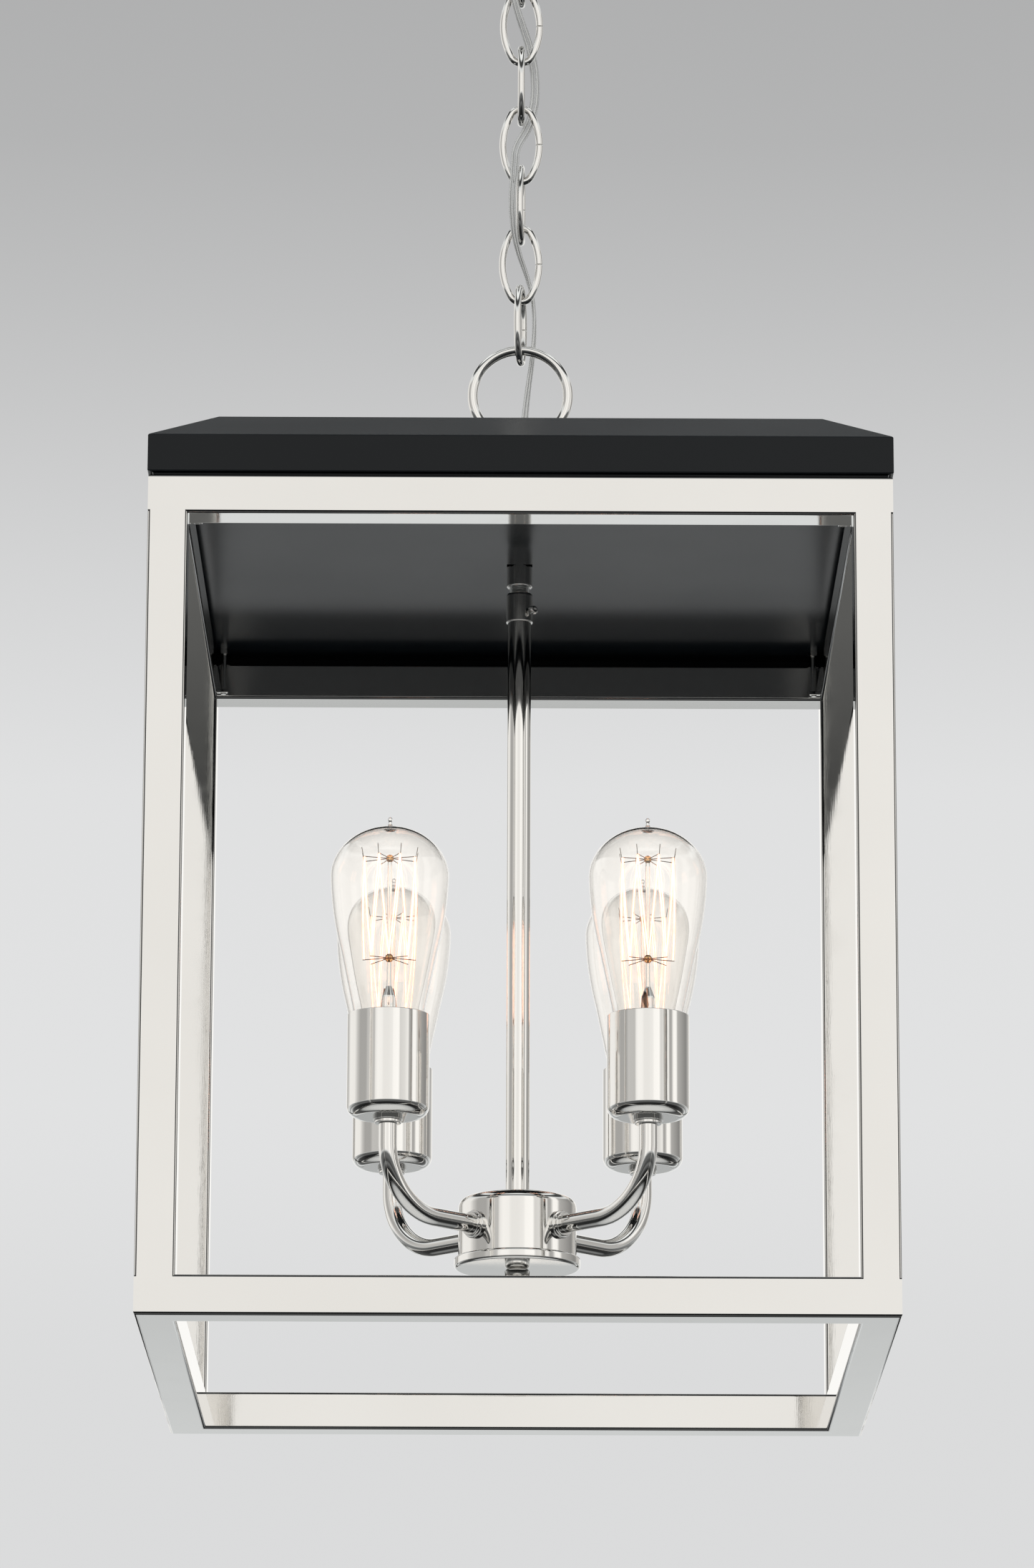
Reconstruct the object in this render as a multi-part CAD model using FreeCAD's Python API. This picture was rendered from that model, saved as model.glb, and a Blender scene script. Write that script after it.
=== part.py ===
"""Hanging lantern: an open square cage under a hipped cap, four lamps on a centre stem, hung by a chain.

Millimetres, +Z up, +Y to the back.  Heights below are counted from the foot of the cage.
put() lowers every piece by hang_height, so the origin is at the centre of the ceiling plate.
"""
import FreeCAD, Part
import math
import os
from FreeCAD import Vector

# ---------------------------------------------------------------- driving dimensions
# cage of square tube
cage_width = 355.6
cage_height = 406.4
tube = 19.05
tube_wall = 1.2
tube_corner = 1.6

# cap on the cage
cap_sheet = 1.2
cap_reveal = 1.5
cap_reveal_inset = 2.2
cap_fascia_top = 426.3
cap_top = 445.4
cap_slope_inset = 32.2
cap_panel_z = 412.6
cap_screw_inset = 22.6
cap_hole_clearance = 0.2
screw_r = 1.5
screw_nut_r = 3.2
screw_nut_height = 2.6
screw_tab = 6.0
cord_hole_y = 15.0
cord_hole_r = 3.3

# centre stem, from the cap down to the hub
nipple_r = 5.0
nipple_bore_r = 3.4
coupler_r = 6.5
coupler_foot = 402.1
collar_r = 6.7
collar_foot = 383.6
collar_top = 398.9
stem_r = 5.9
stem_wall = 1.0
stem_top = 392.0
running_gap = 0.05
thumb_z = 388.6
thumb_angle = -45.0
thumb_head_r = 2.15
thumb_head_height = 3.2
thumb_head_at = 8.0

# hub with its cover and finial
hub_r = 29.05
hub_top = 89.4
hub_shoulder = 5.0
hub_wall = 1.5
hub_cover_r = 31.0
hub_cover_foot = 54.4
hub_cover_top = 59.7
finial_r = 6.15
finial_neck = 5.0
finial_foot = 43.2

# arms, cups and lamps
arm_count = 4
arm_z = 72.6
arm_r = 4.5
arm_wall = 1.0
arm_reach = 89.0
arm_bend_r = 32.0
arm_nut_r = 6.9
cup_r = 20.05
cup_foot = 117.0
cup_top = 167.4
cup_wall = 1.1
cup_corner = 4.0
cup_nut_r = 6.6
cup_nut_height = 3.0
holder_r = 18.0
holder_bore_r = 13.6
holder_top = 155.0
lamp_foot = 129.9
lamp_cap_r = 13.0
lamp_cap_top = 156.0
lamp_r = 28.9
lamp_widest = 236.8
lamp_dome = 24.6
glass_wall = 0.8
neck = (12.4, 156.0)          # glass outline, (radius, height)
throat = (14.4, 161.5)
lip = (17.0, 167.4)
flank = (23.7, 200.0)
bulge = (27.6, 220.0)
tip_waist_r = 0.8
tip_ball_r = 1.15
low_button_z = 196.0
high_button_z = 246.0
low_hook_r = 9.0
high_hook_r = 13.3
hook_count = 8

# ring, chain and ceiling plate
ring_r = 24.15
ring_wire = 5.1
ring_z = 503.6
link_count = 7
link_wire = 3.6
link_half_length = 18.1
link_half_width = 7.5
link_end_r = 5.7
link_gap = 0.25
link_cut = 0.5
eye_wire = 4.0
eye_r = 9.5
canopy_r = 63.5
canopy_depth = 25.4
canopy_sheet = 1.0
bar_hole_spacing = 88.9
bar_hole_r = 2.4
bar_length = 104.0
bar_width = 20.0
bar_sheet = 1.6
hex_nut_r = 8.5
hex_nut_height = 3.0
holder_flange_r = 22.5
holder_neck_r = 7.0
holder_crown_z = 486.0
holder_tongue = 9.0
holder_shoulder_z = 470.0
ring_hole_r = 3.6
cord_r = 2.1

# ---------------------------------------------------------------- worked out from them
half = cage_width / 2
rail_top_foot = cage_height - tube
arm_out = [(math.cos(math.radians(a)), math.sin(math.radians(a))) for a in (225, 315, 45, 135)]
link_side_r = (((link_half_length - link_end_r) ** 2 + link_half_width ** 2 - link_end_r ** 2)
               / (2 * (link_half_width - link_end_r)))
ring_to_link = ring_wire / 2 + link_wire / 2 + 0.3
link_first = ring_z + ring_r - ring_to_link
link_pitch = 2 * link_half_length - link_wire - link_gap
top_link_top = link_first + link_pitch * (link_count - 1) + 2 * link_half_length
eye_low = top_link_top - link_wire / 2 - eye_wire / 2 - 0.3
eye_plate = eye_low + eye_r + 12.7
eye_plate_top = eye_plate + 10.0
hang_height = eye_plate_top + canopy_depth
up = Vector(0, 0, 1)


def put(name, shape):
    """Lower a piece from cage heights to the row's frame and write it."""
    shape = shape.copy()
    shape.translate(Vector(0, 0, -hang_height))
    if not shape.isValid():
        print("NOT VALID", name)
    shape.exportStep("parts/" + name + ".step")
    print(name, "solids", len(shape.Solids), "volume", round(shape.Volume, 1))


def outline(start, *steps):
    """Closed wire in the XZ plane: a point adds a side, a pair of points an arc through the first."""
    first = here = Vector(start[0], 0, start[1])
    edges = []
    for step in steps:
        if isinstance(step[0], tuple):
            middle, end = (Vector(x, 0, z) for x, z in step)
            edges.append(Part.Arc(here, middle, end).toShape())
        else:
            end = Vector(step[0], 0, step[1])
            edges.append(Part.makeLine(here, end))
        here = end
    if here.distanceToPoint(first) > 1e-6:
        edges.append(Part.makeLine(here, first))
    return Part.Wire(edges)


def turned(start, *steps):
    """Outline turned about the Z axis."""
    return Part.Face(outline(start, *steps)).revolve(Vector(), up, 360)


def bend(x, z, radius, start, end):
    """Arc about (x, z) from one angle to another, as the middle and end points that outline() takes."""
    middle = math.radians((start + end) / 2)
    last = math.radians(end)
    return ((x + radius * math.cos(middle), z + radius * math.sin(middle)),
            (x + radius * math.cos(last), z + radius * math.sin(last)))


def rod(start, end, radius):
    """Plain round rod between two points."""
    start, end = Vector(*start), Vector(*end)
    return Part.makeCylinder(radius, start.distanceToPoint(end), start, end - start)


def swept(edges, radius):
    """Round wire along a path of lines and tangent arcs."""
    path = Part.Wire(edges)
    start = path.Edges[0].valueAt(path.Edges[0].FirstParameter)
    heading = path.Edges[0].tangentAt(path.Edges[0].FirstParameter)
    ring = Part.Wire([Part.makeCircle(radius, start, heading)])
    return path.makePipeShell([ring], True, False)


def hexagon(radius, height, z):
    """Hexagonal prism on the Z axis, radius to its corners."""
    corners = [Vector(radius * math.cos(math.radians(60 * k)), radius * math.sin(math.radians(60 * k)), z)
               for k in range(7)]
    return Part.Face(Part.makePolygon(corners)).extrude(Vector(0, 0, height))


# ---------------------------------------------------------------- cage
def rounded_square(side, corner):
    """Rounded square face in the YZ plane, centred on the X axis."""
    block = Part.makeBox(1, side, side, Vector(0, -side / 2, -side / 2))
    long_edges = [e for e in block.Edges if abs(e.tangentAt(e.FirstParameter).x) > 0.99]
    block = block.makeFillet(corner, long_edges)
    return min(block.Faces, key=lambda f: f.CenterOfMass.x)


def square_tube(length):
    """Square tube along X, centred on the origin."""
    outer = rounded_square(tube, tube_corner).extrude(Vector(length, 0, 0))
    inner = rounded_square(tube - 2 * tube_wall, tube_corner - 0.8).extrude(Vector(length, 0, 0))
    pipe = outer.cut(inner)
    pipe.translate(Vector(-length / 2, 0, 0))
    return pipe


def mitred_rail():
    """Rail along X at the front of a ring, its ends cut at 45 degrees, on the XY plane."""
    rail = square_tube(cage_width)
    rail.translate(Vector(0, -half + tube / 2, tube / 2))
    corners = [Vector(-half, -half, 0), Vector(half, -half, 0), Vector(0, 0, 0), Vector(-half, -half, 0)]
    wedge = Part.Face(Part.makePolygon(corners)).extrude(Vector(0, 0, tube))
    return rail.common(wedge)


def make_cage():
    rail = mitred_rail()
    for ring_name, z in (("bottom", 0.0), ("top", rail_top_foot)):
        for side, turn in (("front", 0), ("right", 90), ("back", 180), ("left", 270)):
            piece = rail.copy()
            piece.rotate(Vector(), up, turn)
            piece.translate(Vector(0, 0, z))
            put(ring_name + "_rail_" + side, piece)
    post = square_tube(rail_top_foot - tube)
    post.rotate(Vector(), Vector(0, 1, 0), -90)
    middle = (rail_top_foot + tube) / 2
    places = (("front_left", -1, -1), ("front_right", 1, -1), ("back_right", 1, 1), ("back_left", -1, 1))
    for name, x, y in places:
        piece = post.copy()
        piece.translate(Vector(x * (half - tube / 2), y * (half - tube / 2), middle))
        put("post_" + name, piece)


# ---------------------------------------------------------------- cap
def cap_block(inset):
    """Solid under the cap's skin: a reveal, an upright fascia, hipped slopes and a flat top."""
    low = cage_height + cap_reveal
    wide = half + 0.5 - inset
    reveal = half - cap_reveal_inset - inset
    flat = half + 0.5 - cap_slope_inset - inset * 0.55
    base = Part.makeBox(2 * reveal, 2 * reveal, cap_reveal + 1, Vector(-reveal, -reveal, cage_height))
    fascia_top = cap_fascia_top - inset * 0.55
    fascia = Part.makeBox(2 * wide, 2 * wide, fascia_top - low - inset, Vector(-wide, -wide, low + inset))
    squares = []
    for size, z in ((wide, fascia_top), (flat, cap_top - inset)):
        squares.append(Part.makePolygon([Vector(x * size, y * size, z) for x, y in
                                         ((-1, -1), (1, -1), (1, 1), (-1, 1), (-1, -1))]))
    slopes = Part.makeLoft(squares, True, True)
    return base.fuse([fascia, slopes]).removeSplitter()


def make_cap():
    skin = cap_block(0.0)
    hollow = cap_block(cap_sheet)
    mouth = half - cap_reveal_inset - cap_sheet
    hollow = hollow.fuse(Part.makeBox(2 * mouth, 2 * mouth, 6, Vector(-mouth, -mouth, cage_height - 1)))
    shell = skin.cut(hollow)
    shell = shell.cut(rod((0, 0, cap_top - 5), (0, 0, cap_top + 5), nipple_r + cap_hole_clearance))
    shell = shell.cut(rod((0, cord_hole_y, cap_top - 5), (0, cord_hole_y, cap_top + 5), cord_hole_r))
    put("roof_shell", shell)

    plate = mouth - 0.15
    panel = Part.makeBox(2 * plate, 2 * plate, cap_sheet, Vector(-plate, -plate, cap_panel_z))
    low, high = cap_panel_z - 1, cap_panel_z + 3
    panel = panel.cut(rod((0, 0, low), (0, 0, high), nipple_r + cap_hole_clearance))
    screw_at = half - cap_screw_inset
    lug_at = half - tube - screw_tab / 2
    screws = []
    for x, y in ((-1, -1), (1, -1), (1, 1), (-1, 1)):
        at_x, at_y = x * screw_at, y * screw_at
        panel = panel.cut(rod((at_x, at_y, low), (at_x, at_y, high), screw_r + 0.1))
        shank = rod((at_x, at_y, rail_top_foot + 1), (at_x, at_y, cap_panel_z + 6), screw_r)
        nut = hexagon(screw_nut_r, screw_nut_height, cap_panel_z - screw_nut_height)
        nut.translate(Vector(at_x, at_y, 0))
        corner = Vector(x * lug_at - screw_tab / 2, y * lug_at - screw_tab / 2, rail_top_foot + 1.5)
        screws.append(shank.fuse([nut, Part.makeBox(screw_tab, screw_tab, 2.0, corner)]))
    put("roof_panel", panel)
    put("roof_screws", Part.makeCompound(screws))


# ---------------------------------------------------------------- stem
def make_stem():
    put("top_coupler", turned((nipple_r, coupler_foot + 0.8), (nipple_r + 0.8, coupler_foot),
                              (coupler_r - 0.6, coupler_foot),
                              bend(coupler_r - 0.6, coupler_foot + 0.6, 0.6, -90, 0),
                              (coupler_r, cap_panel_z), (nipple_r, cap_panel_z)))
    low, high = stem_top + 0.6, cap_top + 7.5
    put("stem_nipple", turned((nipple_bore_r, low), (nipple_r, low), (nipple_r, high), (nipple_bore_r, high)))
    collar = turned((stem_r + running_gap, collar_foot), (collar_r - 0.4, collar_foot),
                    bend(collar_r - 0.4, collar_foot + 0.4, 0.4, -90, 0),
                    (collar_r, collar_top - 1.6), bend(collar_r - 1.6, collar_top - 1.6, 1.6, 0, 90),
                    (nipple_r, collar_top),
                    (nipple_r, stem_top + 0.6), (stem_r + running_gap, stem_top + 0.6))
    out = Vector(math.cos(math.radians(thumb_angle)), math.sin(math.radians(thumb_angle)), 0)
    axis = Vector(0, 0, thumb_z)
    collar = collar.cut(Part.makeCylinder(1.05, 4, axis + out * 5, out))
    put("stem_collar", collar)
    shank = Part.makeCylinder(1.0, 2.2, axis + out * (stem_r + running_gap), out)
    head = Part.makeCylinder(thumb_head_r, thumb_head_height, axis + out * thumb_head_at, out)
    head = head.makeFillet(0.4, [e for e in head.Edges if e.Length > 10])
    put("thumb_screw", shank.fuse(head).removeSplitter())
    put("stem_tube", turned((stem_r - stem_wall, hub_top - 7), (stem_r, hub_top - 7), (stem_r, stem_top),
                            (stem_r - stem_wall, stem_top)))


# ---------------------------------------------------------------- hub
def make_hub():
    inner = hub_r - hub_wall
    body = turned((hub_r, hub_cover_top), (hub_r, hub_top - hub_shoulder),
                  bend(hub_r - hub_shoulder, hub_top - hub_shoulder, hub_shoulder, 0, 90),
                  (stem_r + 0.05, hub_top), (stem_r + 0.05, hub_top - hub_wall),
                  (inner - 3.5, hub_top - hub_wall),
                  bend(inner - 3.5, hub_top - hub_wall - 3.5, 3.5, 90, 0), (inner, hub_cover_top))
    for x, y in arm_out:
        body = body.cut(rod((20 * x, 20 * y, arm_z), (40 * x, 40 * y, arm_z), arm_r + 0.05))
    put("hub_body", body)
    rim = 1.4
    put("hub_cover", turned((finial_neck - 2, hub_cover_foot), (hub_cover_r - rim, hub_cover_foot),
                            bend(hub_cover_r - rim, hub_cover_foot + rim, rim, -90, 0),
                            (hub_cover_r, hub_cover_top - rim),
                            bend(hub_cover_r - rim, hub_cover_top - rim, rim, 0, 90),
                            (inner - 1, hub_cover_top), (inner - 1, hub_cover_foot + 2),
                            (finial_neck - 2, hub_cover_foot + 2)))
    dome = finial_r
    put("finial", turned((0, finial_foot), bend(0, finial_foot + dome, dome, -90, 0),
                         (finial_r, hub_cover_foot - 1.2), (finial_r - 0.8, hub_cover_foot - 0.4),
                         (finial_neck, hub_cover_foot), (finial_neck - 2.05, hub_cover_foot),
                         (finial_neck - 2.05, hub_cover_foot + 6), (0, hub_cover_foot + 6)))


# ---------------------------------------------------------------- arms, cups, lampholders
def arm_path():
    """Arm's centre line in the XZ plane: out of the hub, round one bend, up into the cup."""
    turn = arm_reach - arm_bend_r
    knee = arm_bend_r * (1 - math.sqrt(0.5))
    return [Part.makeLine(Vector(hub_r - 6, 0, arm_z), Vector(turn, 0, arm_z)),
            Part.Arc(Vector(turn, 0, arm_z), Vector(arm_reach - knee, 0, arm_z + knee),
                     Vector(arm_reach, 0, arm_z + arm_bend_r)).toShape(),
            Part.makeLine(Vector(arm_reach, 0, arm_z + arm_bend_r), Vector(arm_reach, 0, cup_foot + 2.4))]


def make_arms():
    arm = swept(arm_path(), arm_r).cut(swept(arm_path(), arm_r - arm_wall))
    hub_nut = rod((hub_r - 3, 0, arm_z), (hub_r + 2.0, 0, arm_z), arm_nut_r)
    hub_step = rod((hub_r + 2.0, 0, arm_z), (hub_r + 4.0, 0, arm_z), arm_nut_r - 1.0)
    hub_nut = hub_nut.cut(rod((0, 0, arm_z - 20), (0, 0, arm_z + 20), hub_r)).fuse(hub_step)
    hub_nut = hub_nut.cut(rod((0, 0, arm_z), (50, 0, arm_z), arm_r + 0.02))
    cup_nut = turned((arm_r + 0.02, cup_foot - cup_nut_height), (cup_nut_r, cup_foot - cup_nut_height),
                     (cup_nut_r, cup_foot - 1.4), (cup_nut_r + 0.6, cup_foot - 1.4),
                     (cup_nut_r + 0.6, cup_foot),
                     (arm_r + 0.02, cup_foot))
    cup_nut.translate(Vector(arm_reach, 0, 0))
    cup = turned((arm_r + 0.1, cup_foot), (cup_r - cup_corner, cup_foot),
                 bend(cup_r - cup_corner, cup_foot + cup_corner, cup_corner, -90, 0), (cup_r, cup_top),
                 (cup_r - cup_wall, cup_top), (cup_r - cup_wall, cup_foot + cup_corner),
                 bend(cup_r - cup_corner, cup_foot + cup_corner, cup_corner - cup_wall, 0, -90),
                 (arm_r + 0.1, cup_foot + cup_wall))
    cup.translate(Vector(arm_reach, 0, 0))
    holder = turned((0, cup_foot + 2.5), (holder_r - 3, cup_foot + 2.5), (holder_r, cup_foot + 6),
                    (holder_r, holder_top), (holder_bore_r, holder_top), (holder_bore_r, lamp_foot - 1),
                    (0, lamp_foot - 1))
    holder.translate(Vector(arm_reach, 0, 0))
    nuts = []
    holders = []
    for k, (x, y) in enumerate(arm_out):
        turn = math.degrees(math.atan2(y, x))
        pieces = [piece.copy() for piece in (arm, cup, hub_nut, cup_nut, holder)]
        for piece in pieces:
            piece.rotate(Vector(), up, turn)
        put("arm_%d" % (k + 1), pieces[0])
        put("socket_cup_%d" % (k + 1), pieces[1])
        nuts += pieces[2:4]
        holders.append(pieces[4])
    put("arm_nuts", Part.makeCompound(nuts))
    put("lampholders", Part.makeCompound(holders))


# ---------------------------------------------------------------- lamps
def lamp_profile(inset, last_r):
    """Edges of the glass from neck to dome, moved in by inset and ended at last_r from the axis."""
    dome_r = lamp_r - inset
    dome_h = lamp_dome - inset

    def dome(degrees):
        angle = math.radians(degrees)
        return Vector(dome_r * math.cos(angle), 0, lamp_widest + dome_h * math.sin(angle))

    def side(r, z):
        return Vector(r - inset, 0, z)

    last = math.degrees(math.acos(last_r / dome_r))
    foot = side(*neck)
    edges = [Part.Arc(foot, side(*throat), side(*lip)).toShape(),
             Part.makeLine(side(*lip), side(*flank)),
             Part.Arc(side(*flank), side(*bulge), dome(0)).toShape(),
             Part.Arc(dome(0), dome(24), dome(48)).toShape(),
             Part.Arc(dome(48), dome((48 + last) / 2), dome(last)).toShape()]
    return edges, foot, dome(last)


def lamp_glass():
    """Glass shell with its drawn tip, turned in one piece."""
    outside, foot, crown = lamp_profile(0.0, 2.6)
    inside, inner_foot, inner_crown = lamp_profile(glass_wall, 0.8)
    dome_top = lamp_widest + lamp_dome
    ball_z = dome_top + 4.3
    ball_r = tip_ball_r
    waist = Vector(tip_waist_r, 0, dome_top + 2.4)
    ball_side = Vector(ball_r, 0, ball_z)
    ball_middle = Vector(ball_r * math.sqrt(0.5), 0, ball_z + ball_r * math.sqrt(0.5))
    top = Vector(0, 0, ball_z + ball_r)
    under = Vector(0, 0, inner_crown.z)
    edges = outside + inside
    edges += [Part.makeLine(crown, waist), Part.makeLine(waist, ball_side),
              Part.Arc(ball_side, ball_middle, top).toShape(), Part.makeLine(top, under),
              Part.makeLine(under, inner_crown), Part.makeLine(inner_foot, foot)]
    return Part.Face(Part.Wire(Part.sortEdges(edges)[0])).revolve(Vector(), up, 360)


def make_lamps():
    glass = lamp_glass()
    rim = lamp_cap_top - 0.05
    cap = turned((0, lamp_foot), (4.5, lamp_foot), (6.0, lamp_foot + 2.5), (lamp_cap_r - 1.5, lamp_foot + 5),
                 (lamp_cap_r, lamp_foot + 6), (lamp_cap_r, rim), (lamp_cap_r - 0.5, rim),
                 (lamp_cap_r - 0.5, lamp_foot + 6.3), (lamp_cap_r - 1.8, lamp_foot + 5.6),
                 (5.6, lamp_foot + 3.2), (0, lamp_foot + 3.2))
    low, high = low_button_z, high_button_z
    stem = turned((0, 156.1), (9.0, 156.1), (4.2, 164), (3.4, 176), (1.6, 181), (1.1, 184),
                  (1.1, high), (0, high))
    pieces = [Part.makeSphere(2.1, Vector(0, 0, low)), Part.makeSphere(1.9, Vector(0, 0, high))]
    for k in range(hook_count):
        a = math.radians(360 / hook_count * (k + 0.5))
        b = math.radians(360 / hook_count * (k + 1))
        top_hook = (high_hook_r * math.cos(a), high_hook_r * math.sin(a), high - 0.3)
        low_hook = (low_hook_r * math.cos(b), low_hook_r * math.sin(b), low - 1.0)
        pieces.append(rod((0, 0, high), top_hook, 0.25))
        pieces.append(rod((0, 0, low), low_hook, 0.25))
        pieces.append(rod(low_hook, top_hook, 0.3))
    mount = stem.fuse(pieces)
    for k, (x, y) in enumerate(arm_out):
        for name, shape in (("bulb_glass", glass), ("bulb_cap", cap), ("filament_mount", mount)):
            piece = shape.copy()
            piece.rotate(Vector(), up, 90 * k)
            piece.translate(Vector(arm_reach * x, arm_reach * y, 0))
            put("%s_%d" % (name, k + 1), piece)


# ---------------------------------------------------------------- ring and its holder
def make_ring():
    put("hang_ring", Part.makeTorus(ring_r, ring_wire / 2, Vector(0, 0, ring_z), Vector(0, 1, 0)))
    tongue = holder_tongue
    lift = ring_r - math.sqrt(ring_r ** 2 - (tongue / 2) ** 2)
    wire_z = ring_z - ring_r
    hole_z = wire_z + lift + ring_wire / 2 - ring_hole_r + 0.05
    flange, neck_r, top = holder_flange_r, holder_neck_r, holder_crown_z
    holder = turned((nipple_r, cap_top), (flange, cap_top), (flange, cap_top + 2.2),
                    (flange - 0.8, cap_top + 3),
                    (neck_r + 2.5, cap_top + 3), bend(neck_r + 2.5, cap_top + 5.5, 2.5, -90, -180),
                    (neck_r, top), (0, top), (0, cap_top + 8), (nipple_r, cap_top + 8))
    for side in (-1, 1):
        corner = Vector(side * (10 + tongue / 2) - 10, -20, holder_shoulder_z)
        holder = holder.cut(Part.makeBox(20, 40, 30, corner))
    crown = rod((-tongue, 0, top - neck_r), (tongue, 0, top - neck_r), neck_r)
    keep = crown.fuse(Part.makeBox(60, 60, top - neck_r - cap_top, Vector(-30, -30, cap_top)))
    holder = holder.common(keep)
    holder = holder.cut(rod((-20, 0, hole_z), (20, 0, hole_z), ring_hole_r))
    holder = holder.cut(rod((0, cord_hole_y, cap_top - 1), (0, cord_hole_y, cap_top + 8), cord_hole_r))
    put("ring_holder", holder)


# ---------------------------------------------------------------- chain
def link_path():
    """Link's centre line in the XZ plane: two tight ends, two bowed sides, cut at mid-height on one side."""
    turn = math.asin((link_half_length - link_end_r) / (link_side_r - link_end_r))
    side_x = link_half_width - link_side_r
    start = math.asin(link_cut / 2 / link_side_r)

    def side(sign, low, high):
        points = [Vector(sign * (side_x + link_side_r * math.cos(a)), 0, link_side_r * math.sin(a))
                  for a in (low, (low + high) / 2, high)]
        return Part.Arc(*points).toShape()

    def end(sign):
        sweep = math.pi / 2 - turn
        centre = sign * (link_half_length - link_end_r)
        points = [Vector(link_end_r * math.sin(a), 0, centre + sign * link_end_r * math.cos(a))
                  for a in (sign * sweep, 0, -sign * sweep)]
        return Part.Arc(*points).toShape()

    return [side(1, start, turn), end(1), side(-1, turn, -turn), end(-1), side(1, -turn, -start)]


def make_chain():
    link = swept(link_path(), link_wire / 2)
    for k in range(link_count):
        piece = link.copy()
        if k % 2 == 0:
            piece.rotate(Vector(), up, 90)
        piece.translate(Vector(0, 0, link_first + link_pitch * k + link_half_length))
        put("chain_link_%d" % (k + 1), piece)


# ---------------------------------------------------------------- ceiling plate
def make_canopy():
    top = hang_height
    floor = eye_plate_top
    edge = 4.0
    inner = canopy_r - canopy_sheet
    put("canopy", turned((nipple_r + 0.1, floor), (30, floor), (canopy_r - 14, floor + 5.0),
                         bend(canopy_r - 18, floor + 18, 18, -62, -8), (canopy_r, top - edge),
                         (canopy_r, top),
                         (inner, top), (inner, top - edge), (inner - 1.2, top - edge - 3),
                         (canopy_r - 15.5, floor + 6.2), (30, floor + 1.2), (nipple_r + 0.1, floor + 1.2)))
    bar_z = top - bar_sheet
    bar = Part.makeBox(bar_length, bar_width, bar_sheet, Vector(-bar_length / 2, -bar_width / 2, bar_z))
    bar = bar.makeFillet(4, [e for e in bar.Edges if abs(e.tangentAt(e.FirstParameter).z) > 0.99])
    for x in (-bar_hole_spacing / 2, bar_hole_spacing / 2):
        bar = bar.cut(rod((x, 0, bar_z - 1), (x, 0, bar_z + 3), bar_hole_r))
    bar = bar.cut(rod((0, 0, bar_z - 1), (0, 0, bar_z + 3), nipple_r + 0.1))
    put("mounting_bar", bar)
    put("canopy_nipple", turned((nipple_bore_r, eye_plate + 3), (nipple_r, eye_plate + 3), (nipple_r, top),
                                (nipple_bore_r, top)))
    bore = rod((0, 0, floor - 5), (0, 0, top), nipple_r)
    nuts = [hexagon(hex_nut_r, hex_nut_height, z).cut(bore) for z in (floor + 1.2, bar_z - hex_nut_height)]
    put("canopy_nuts", Part.makeCompound(nuts))
    legs = eye_low + eye_r
    eye = swept([Part.makeLine(Vector(-eye_r, 0, eye_plate + 1), Vector(-eye_r, 0, legs)),
                 Part.Arc(Vector(-eye_r, 0, legs), Vector(0, 0, eye_low), Vector(eye_r, 0, legs)).toShape(),
                 Part.makeLine(Vector(eye_r, 0, legs), Vector(eye_r, 0, eye_plate + 1))], eye_wire / 2)
    plate = turned((nipple_bore_r, eye_plate), (12.5, eye_plate), bend(12.5, eye_plate + 1.5, 1.5, -90, 0),
                   (14.0, eye_plate_top), (nipple_r, eye_plate_top), (nipple_r, eye_plate + 3),
                   (nipple_bore_r, eye_plate + 3))
    put("canopy_loop", plate.fuse(eye).removeSplitter())


# ---------------------------------------------------------------- supply cord
cord_route = [
    (0.0, 15.0, 430.0), (0.0, 14.6, 452.0), (1.0, 11.0, 478.0), (3.4, 8.0, 506.0), (6.8, 7.0, 530.0),
    (7.4, 6.4, 550.0), (4.6, 6.4, 566.0), (-2.9, -5.8, 583.0), (-4.8, -12.6, 603.0), (-3.2, -9.6, 622.0),
    (-2.9, -6.6, 635.0), (4.6, 6.2, 651.0), (8.0, 7.6, 671.0), (5.4, 6.8, 692.0), (-3.2, -6.2, 712.0),
    (-6.8, -9.0, 732.0), (-5.0, -5.4, 750.0), (-1.2, -0.9, 766.0), (0.0, 0.0, 782.0), (0.2, 0.0, 798.0),
]


def make_cord():
    points = [Vector(*p) for p in cord_route]
    edges = []
    here = points[0]
    radii = []
    for before, corner, after in zip(points, points[1:], points[2:]):
        into = corner - before
        out = after - corner
        half_turn = into.getAngle(out) / 2
        back = 0.45 * min(into.Length, out.Length)
        radius = back / math.tan(half_turn)
        radii.append(round(radius, 1))
        start = corner - into.normalize() * back
        end = corner + out.normalize() * back
        inward = (out - into).normalize()
        middle = corner + inward * (radius / math.cos(half_turn) - radius)
        edges.append(Part.makeLine(here, start))
        edges.append(Part.Arc(start, middle, end).toShape())
        here = end
    edges.append(Part.makeLine(here, points[-1]))
    cord = swept(edges, cord_r)
    length = sum(e.Length for e in edges)
    print("cord arc radii", radii)
    print("cord length", round(length, 1), "volume over section times length",
          round(cord.Volume / (math.pi * cord_r ** 2 * length), 4))
    put("supply_cord", cord)


os.makedirs("parts", exist_ok=True)
make_cage()
make_cap()
make_stem()
make_hub()
make_arms()
make_lamps()
make_ring()
make_chain()
make_canopy()
make_cord()
print("hang height", round(hang_height, 2), "ring pivot", round(ring_z - ring_r, 2),
      "links from", round(link_first, 2), "pitch", link_pitch, "eye", round(eye_low, 2))
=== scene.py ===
# Looks of a hanging lantern: polished nickel cage and fittings, black cap, four clear lamps, chain and clear cord.
# Lengths below are in millimetres counted from the foot of the cage; place() turns them into the frame's metres.
import math
import bmesh
import bpy
import numpy as np
from mathutils import Matrix, Vector


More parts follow.
